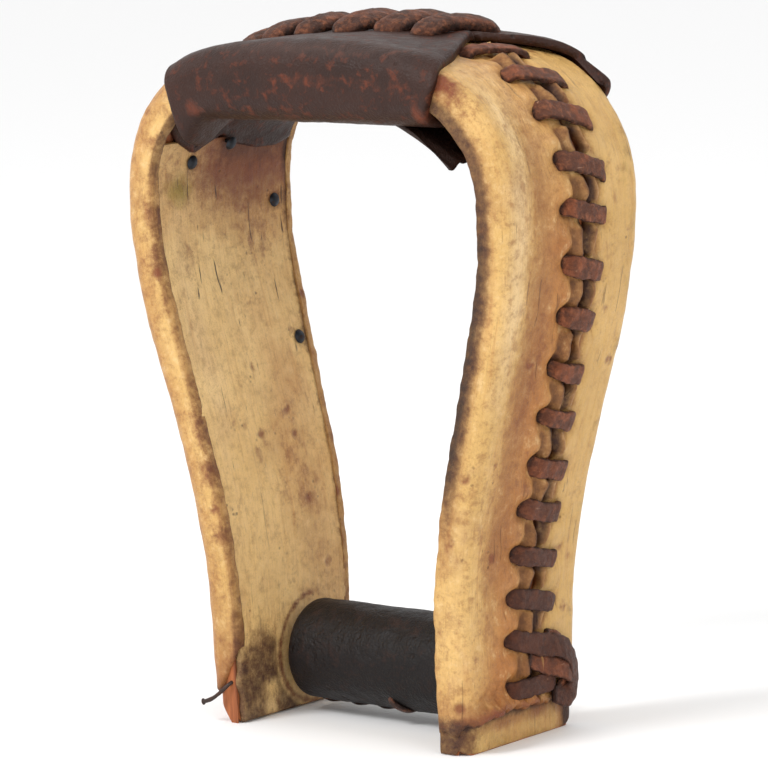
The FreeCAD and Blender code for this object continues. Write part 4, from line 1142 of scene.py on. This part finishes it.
def make_roller():
    low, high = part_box("roller_sleeve")
    axis_y, axis_z = (low.y + high.y) / 2 / MM, (low.z + high.z) / 2 / MM
    radius = (high.z - low.z) / 2 / MM

    def round_axis(x, angle, distance):
        return stacked(x, axis_y + np.cos(angle) * distance, axis_z + np.sin(angle) * distance)

    along = edge_places(ROLLER_LEN, 70, 1.6)
    turns = ROLLER_TURNS
    angles = np.linspace(0, 2 * math.pi, turns, endpoint=False)
    x, angle = np.meshgrid(along - ROLLER_LEN / 2, angles, indexing="ij")
    ring = stacked(x, np.cos(angle) * radius, np.sin(angle) * radius)
    ends = np.minimum(along, ROLLER_LEN - along)[:, None]
    seam = np.angle(np.exp(1j * (angle + math.radians(90))))
    bulge = (-0.25 + 0.22 * lumps(ring, 14.0, 8.0) + 0.1 * lumps(ring, 3.6, 2.0, 3)
             - rounded_off(ends, 1.6) - 0.8 * hill(seam * radius, 0.0, 0.5))
    outer = round_axis(x, angle, radius + bulge).reshape(-1, 3)
    inner = round_axis(x, angle, radius - SLEEVE + 0.03).reshape(-1, 3)
    rows, count = len(along), len(along) * turns
    faces = grid_faces(rows, turns, 0, True, True) + grid_faces(rows, turns, count, False, True)
    for row, turned in ((0, False), (rows - 1, True)):
        for j in range(turns):
            a = row * turns + j
            b = row * turns + (j + 1) % turns
            quad = (a, b, b + count, a + count)
            faces.append(quad if turned else quad[::-1])
    uv = np.tile(stacked(angle * radius, x).reshape(-1, 2), (2, 1))
    # painted highlight along the top of the roller, a little to the front, beside a rubbed patch
    masks = {"worn": 0.35 * hill(angle, 2.2, 0.5), "painted_sheen": 0.3 * hill(angle, 1.9, 0.35),
             # painted shadow at both ends, where the sleeve meets the legs
             "soot_and_shade": 0.7 * fade(ends, 0.5, 3.5)}
    shape = np.concatenate([outer, inner]), faces, uv, on_both(x, masks)
    new_object("roller_leather_sleeve", shape, ROLLER_LEATHER, "roller_sleeve", "roller")

    parts = []
    share = np.linspace(0, 1, 6)
    rise = radius + np.array([-0.9, 0.2, 0.55, 0.55, 0.2, -0.9])
    for index, (start_x, start, end_x, end) in enumerate(ROLLER_STITCHES):
        turn = np.radians(start + (end - start) * share)
        path = smooth_path(round_axis(start_x + (end_x - start_x) * share, turn, rise), 26)
        middle = math.radians((start + end) / 2)
        up = (0, math.cos(middle), math.sin(middle))
        # the stitches are darkened nearly all over to match the dark holes they pass through: painted
        # shade
        parts.append(painted(strap_mesh(path, up, 3.4, 1.2, 3.0, 16, 0.1, index + 60.5), "tip", 0.85))
    finish = ("roller_leather", TREAD_THONG[1])
    new_object("roller_thong", merged(parts), finish, "roller_lace", "roller")


# ---- the bent nail ----
# out of the leg's end and bent flat; the last point is its head
NAIL_ROUTE = ((-43.2, -24.0, 13.8), (-43.4, -28.4, 12.8), (-45.6, -30.0, 10.4),
              (-48.4, -30.6, 8.2), (-51.0, -30.9, 7.0), (-52.4, -31.0, 6.6))


def make_nail(name, stands_for):
    t = np.linspace(0, 1, 40)
    size = 1.25 + 0.9 * ramp(t, 0.9, 0.97) * (1 - 0.6 * ramp(t, 0.985, 1.0))
    part = strap_mesh(smooth_path(NAIL_ROUTE, 40), (0.2, -1.0, 0.2), size, size, 2.0, 14, 0.12, 80.5)
    new_object(name, part, NAIL_IRON, stands_for)


def make_pieces():
    finish_kept_nodes()
    make_cover("front_cover_hide", True, "front_hide_cover")
    make_cover("back_cover_hide", False, "back_hide_cover")
    for label, side in (("left", -1.0), ("right", 1.0)):
        make_liner(f"{label}_liner_hide", side, f"{label}_liner")
        make_side_lace(f"{label}_lace_thong", side, f"{label}_side_lace")
        make_knot(f"{label}_knot_thong", side, f"{label}_lace_knot")
        make_foot_layer(f"{label}_foot_hide", side)
    make_tread_cover("tread_cover_leather", "tread_cover")
    make_tread_lace("tread_lace_thong", "tread_lace")
    make_roller()
    make_nail("bent_nail_wire", "bent_nail")


# ---- floor, light and camera, in metres ----
FLOOR_REACH = 6.0
LAMP_TARGET = Vector((0.0, 0.0, 0.11))
CAMERA_TARGET = Vector((-0.0002, 0.0, 0.10798))
CAMERA_DISTANCE = 1.4184
CAMERA_AZIMUTH = math.radians(38.131)
CAMERA_ELEVATION = math.radians(8.396)
CAMERA_ROLL = math.radians(-1.606)
CAMERA_LENS = 212.8     # mm, for a sensor 36 mm wide


def make_floor():
    mesh = bpy.data.meshes.new("floor")
    reach = FLOOR_REACH
    corners = [(-reach, -reach, 0), (reach, -reach, 0), (reach, reach, 0), (-reach, reach, 0)]
    mesh.from_pydata(corners, [], [(0, 1, 2, 3)])
    material = bpy.data.materials.new("floor")
    material.use_nodes = True
    shader = material.node_tree.nodes["Principled BSDF"]
    shader.inputs["Base Color"].default_value = (0.93, 0.93, 0.93, 1.0)
    shader.inputs["Roughness"].default_value = 0.9
    mesh.materials.append(material)
    floor = bpy.data.objects.new("floor", mesh)
    bpy.context.scene.collection.objects.link(floor)


def add_lamp(name, place, size, power):
    data = bpy.data.lights.new(name, "AREA")
    data.shape = "DISK"
    data.size = size
    data.energy = power
    lamp = bpy.data.objects.new(name, data)
    bpy.context.scene.collection.objects.link(lamp)
    lamp.location = place
    lamp.rotation_euler = (LAMP_TARGET - Vector(place)).to_track_quat("-Z", "Y").to_euler()


def make_light():
    world = bpy.data.worlds.new("studio")
    bpy.context.scene.world = world
    world.use_nodes = True
    background = world.node_tree.nodes["Background"]
    background.inputs["Color"].default_value = (1.0, 1.0, 1.0, 1.0)
    background.inputs["Strength"].default_value = 1.0
    add_lamp("key", (-0.35, -1.2, 1.3), 0.6, 17.0)
    add_lamp("fill", (1.5, -0.5, 0.8), 0.9, 3.0)
    bpy.context.scene.view_settings.view_transform = "Standard"


def make_camera():
    data = bpy.data.cameras.new("camera")
    data.sensor_width = 36.0
    data.lens = CAMERA_LENS
    data.clip_end = 50.0
    camera = bpy.data.objects.new("camera", data)
    bpy.context.scene.collection.objects.link(camera)
    turn = (Matrix.Rotation(CAMERA_AZIMUTH, 4, "Z")
            @ Matrix.Rotation(math.pi / 2 - CAMERA_ELEVATION, 4, "X")
            @ Matrix.Rotation(CAMERA_ROLL, 4, "Z"))
    back_off = Matrix.Translation((0.0, 0.0, CAMERA_DISTANCE))
    camera.matrix_world = Matrix.Translation(CAMERA_TARGET) @ turn @ back_off
    bpy.context.scene.camera = camera


make_pieces()
make_floor()
make_light()
make_camera()
